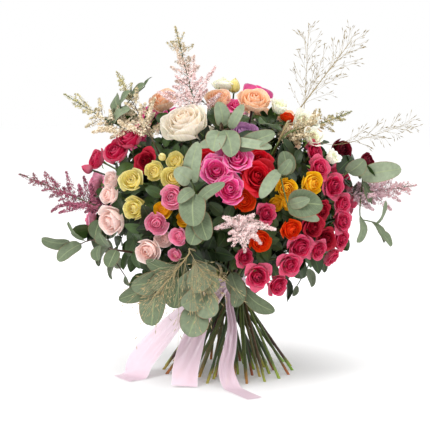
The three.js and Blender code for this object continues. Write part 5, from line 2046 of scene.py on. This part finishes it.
STEM_RINGS = (
    StemRing(0.0, 0.0, 1),
    StemRing(4.85, 0.3, 6),
    StemRing(10.1, 0.42, 12),
    StemRing(15.35, 0.52, 18),
    StemRing(20.6, 0.73, 21),
)


def tie_stems(items: Sequence[Item]) -> None:
    """Gives every item its stem: the inner rings go up to the crown, the outer ones out and down."""
    tie = np.array([0.0, 0.0, TIE_HEIGHT])
    waiting = sorted(items, key=lambda item: -unit(item.junction() - tie)[2])
    for ring in STEM_RINGS:
        members = sorted(waiting[: ring.count], key=lambda item: bearing_of(item.junction()))
        waiting = waiting[ring.count :]
        turn = ring.best_turn(members)
        for index, item in enumerate(members):
            item.below = ring.route(item, index + turn)


@dataclass(frozen=True)
class Binding:
    """The jute twine round the waist of the stems, wound as a helix under the ribbon."""

    radius: float = 24.7
    climb: float = 7.0
    turns: int = 4
    steps: int = 44
    play: float = 0.1
    thickness: float = 1.9

    def dress(self, rng: Draw) -> None:
        """Makes the twine."""
        draft = MeshDraft()
        angle = np.linspace(0, self.turns * math.tau, self.turns * self.steps + 1)
        climb = np.linspace(-0.5, 0.5, len(angle)) * self.climb
        radius = self.radius + rng.uniform(-self.play, self.play, len(angle))
        path = np.stack([np.cos(angle) * radius, np.sin(angle) * radius, TIE_HEIGHT + climb], axis=1)
        draft.tube(path, self.thickness / 2, 8, tint=0.6)
        seat(draft, "twine_binding_turns", "twine_binding", JUTE)


@dataclass(frozen=True)
class Tail:
    """One tail of the ribbon: a strip of one width, pleated at the knot and opening as it falls.

    Each row of its line is x, y, z and the bearing of its width in degrees.
    """

    name: str
    width: float
    rows: tuple[tuple[float, float, float, float], ...]
    pleats: float = 2.5
    gather: Pair = (0.42, 1.0)
    columns: int = 29
    opened: float = 0.75
    twist: float = 1.2
    clearance: float = 0.8

    def swing(self, share: float) -> float:
        """The depth of the pleats, in widths, at which a strip drawn in to a share keeps its length."""
        across = np.linspace(0.0, 1.0, 200)
        low, high = 0.0, 1.0
        for _ in range(30):
            middle = (low + high) / 2
            slope = middle * math.tau * self.pleats * np.cos(across * math.tau * self.pleats)
            low, high = (middle, high) if np.sqrt(share**2 + slope**2).mean() < 1 else (low, middle)
        return low

    def dress(self) -> bpy.types.Object:
        """Makes the tail."""
        marks = np.array([row[:3] for row in self.rows])
        bearings = np.radians([row[3] for row in self.rows])
        line = catmull(list(marks), 8)
        turns = np.interp(np.linspace(0, 1, len(line)), np.linspace(0, 1, len(bearings)), bearings)
        side = np.stack([np.cos(turns), np.sin(turns), 0 * turns], axis=1)
        forward = units(np.gradient(line, axis=0))
        side = units(side - (side * forward).sum(axis=1, keepdims=True) * forward)
        above = np.cross(forward, side)
        s = np.linspace(-0.5, 0.5, self.columns)
        share = np.linspace(0, 1, len(line))
        rows = []
        for index, along in enumerate(share):
            drawn = lerp(*self.gather, float(smooth(0.0, self.opened, along)))
            wave = np.sin((s + 0.5) * math.tau * self.pleats + along * self.twist)
            spread = side[index] * (s * drawn * self.width)[:, None]
            pleated = above[index] * (self.swing(drawn) * wave * self.width)[:, None]
            rows.append(line[index] + spread + pleated)
        points = np.array(rows)
        points[..., 2] = np.maximum(points[..., 2], self.clearance)
        draft = MeshDraft()
        draft.grid(points, along=share[:, None], across=(2 * s)[None, :])
        piece = seat(draft, self.name, "ribbon", ORGANZA)
        return piece


BAND_RADIUS = 27.4
TAILS = (
    Tail(
        "ribbon_tail_front",
        26.0,
        (
            (-1, -31, 142, 0), (2, -46, 112, 10), (6, -70, 84, 20), (2, -96, 56, 0),
            (-4, -116, 28, -14), (4, -136, 5, 0), (18, -160, 1.6, 24), (38, -196, 1.6, 34),
        ),
    ),
    Tail(
        "ribbon_tail_middle",
        40.0,
        (
            (-6, -30, 140, -20), (-26, -50, 116, -20), (-46, -74, 88, -10), (-58, -96, 58, 0),
            (-66, -116, 28, 4), (-68, -128, 3, 4),
        ),
    ),
    Tail(
        "ribbon_tail_left",
        48.0,
        (
            (-14, -26, 140, -40), (-46, -40, 120, -40), (-80, -46, 92, -30), (-112, -50, 58, -26),
            (-138, -52, 26, -30), (-148, -58, 4, -34), (-168, -72, 1.6, -46),
        ),
    ),
)


@dataclass(frozen=True)
class Ribbon:
    """The sheer ribbon: a creased band round the tie, a knot in front and the tails below it."""

    height: float = 26.0
    creases: int = 5
    crease_depth: float = 0.55
    pinch: float = 0.35
    pinch_spread: float = 0.12
    steps: int = 72
    knot_length: float = 20.0
    knot_height: float = 19.0
    knot_depth: float = 0.42
    knot_folds: float = 13.0

    def band(self) -> bpy.types.Object:
        """Makes the band, whose creases run round it and pinch in at the knot."""
        angle = np.arange(self.steps) / self.steps * math.tau
        level = np.linspace(-0.5, 0.5, 27)
        past = (angle + math.pi / 2) % math.tau
        facing = np.exp(-(np.minimum(past, math.tau - past) ** 2) / self.pinch_spread)
        height = self.height * (1 - self.pinch * facing)
        ripple = self.crease_depth * np.sin(level * math.tau * self.creases)[:, None]
        crease = ripple * (1 + 0.4 * np.sin(3 * angle))[None, :]
        radius = BAND_RADIUS + 0.6 + crease + 0.5 * np.sin(angle * 2 + 1)[None, :]
        z = TIE_HEIGHT + level[:, None] * height[None, :] + 0.8 * np.sin(angle * 3)[None, :]
        points = np.stack([radius * np.cos(angle), radius * np.sin(angle), z], axis=-1)
        draft = MeshDraft()
        draft.grid(points, closed=True, along=(angle / math.tau)[None, :], across=(2 * level)[:, None])
        piece = seat(draft, "ribbon_band", "ribbon", ORGANZA)
        return piece

    def knot(self) -> bpy.types.Object:
        """Makes the knot: the ribbon bunched and drawn over the front of the band."""
        turn = np.linspace(0, math.tau, 33)[:-1]
        across = np.linspace(-1, 1, 15)
        bulge = np.sqrt(np.clip(1 - (0.82 * across) ** 2, 0, 1))
        fold = 1 + 0.13 * np.sin(across * self.knot_folds)
        half = (self.knot_height / 2 * bulge * fold + 2.0)[:, None]
        x = across[:, None] * (self.knot_length / 2) + 1.6 * np.sin(2 * turn)[None, :]
        y = -BAND_RADIUS - 3.2 + half * self.knot_depth * np.cos(turn)[None, :]
        z = TIE_HEIGHT + half * np.sin(turn)[None, :] + 1.5 * across[:, None]
        points = np.stack(np.broadcast_arrays(x, y, z), axis=-1)
        draft = MeshDraft()
        draft.grid(points, closed=True, along=across[:, None], across=0.0)
        return seat(draft, "ribbon_knot", "ribbon", ORGANZA)

    def dress(self) -> None:
        """Makes the ribbon's pieces."""
        self.band()
        self.knot()
        for tail in TAILS:
            tail.dress()


def pose(axes: Sequence[Array], place: Sequence[float]) -> Matrix:
    """The world matrix of three axes at a place in metres."""
    matrix = np.eye(4)
    matrix[:3, :3] = np.stack(axes, axis=1)
    matrix[:3, 3] = place
    return Matrix(matrix.tolist())


# Each lamp's name, place and side in metres, and power in watts
LAMPS = (
    ("key_light", (-1.4, -1.8, 2.4), 1.2, 52.0),
    ("fill_light", (1.8, -1.6, 1.4), 1.6, 10.0),
    ("top_light", (0.2, 0.4, 2.6), 1.6, 20.0),
)
LAMPS_LOOK_AT = np.array([0.0, 0.0, 0.25])
PAPER = "#fdfdfd"
SKY = "#ffffff"


@dataclass(frozen=True)
class Studio:
    """A pale floor, soft light and the camera of the front view."""

    sensor: float = 36.0
    floor_size: float = 14.0
    sight: float = 60.0

    def camera(self) -> None:
        """Makes the camera that sees the front view's width at its target."""
        data = bpy.data.cameras.new("front_camera")
        camera = bpy.data.objects.new("front_camera", data)
        bpy.context.scene.collection.objects.link(camera)
        forward = unit(VIEW.target - VIEW.eye)
        camera.matrix_world = pose((RIGHT, np.cross(RIGHT, forward), -forward), VIEW.eye * MM)
        distance = float(np.linalg.norm(VIEW.target - VIEW.eye))
        data.sensor_width = self.sensor
        data.lens = self.sensor * distance / VIEW.width
        data.clip_end = self.sight
        bpy.context.scene.camera = camera

    def floor(self) -> None:
        """Makes the floor: a matt white sweep of paper."""
        shader = Shader("studio_paper")
        surface = shader.node("BsdfPrincipled", {"Base Color": linear(PAPER), "Roughness": 0.9})
        draft = MeshDraft()
        half = self.floor_size / MM / 2
        draft.grid(np.array([[[x * half, y * half, 0.0] for x in (-1, 1)] for y in (-1, 1)]))
        draft.build("studio_floor", [shader.finish(surface)])

    def lamp(self, name: str, place: tuple[float, float, float], size: float, power: float) -> None:
        """Makes a square soft light that looks at the bouquet.

        Args:
            name: Its name.
            place: Where it stands, in metres.
            size: Its side in metres.
            power: Its power in watts.
        """
        data = bpy.data.lights.new(name, "AREA")
        data.size = size
        data.energy = power
        lamp = bpy.data.objects.new(name, data)
        basis = Basis.along(unit(np.array(place) - LAMPS_LOOK_AT))
        lamp.matrix_world = pose((basis.side, basis.other, basis.forward), place)
        bpy.context.scene.collection.objects.link(lamp)

    def dress(self) -> None:
        """Makes the camera, the floor and the lights."""
        self.camera()
        self.floor()
        # Product photographs show paper white as white, which the plain sRGB view does
        bpy.context.scene.view_settings.view_transform = "Standard"
        world = bpy.data.worlds.new("studio_world")
        bpy.context.scene.world = world
        world.use_nodes = True
        background = world.node_tree.nodes["Background"]
        background.inputs["Color"].default_value = linear(SKY)
        background.inputs["Strength"].default_value = 1.0
        for lamp in LAMPS:
            self.lamp(*lamp)


def main() -> None:
    """Makes the studio and then the bouquet, piece by piece."""
    logging.basicConfig(level=logging.INFO, format="%(message)s")
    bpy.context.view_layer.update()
    Studio().dress()
    items = [*FRONT_SPRAYS, *BACK_SPRAYS, *FRONT_SPRIGS, *BACK_SPRIGS, *ASTILBES, *GRASSES]
    BloomRoom.fill([flower for spray in (*FRONT_SPRAYS, *BACK_SPRAYS) for flower in spray.blooms])
    tie_stems(items)
    for number, item in enumerate(items):
        item.dress(np.random.default_rng([SEED, number]))
    Binding().dress(np.random.default_rng(SEED))
    Ribbon().dress()


if __name__ == "__main__":
    main()
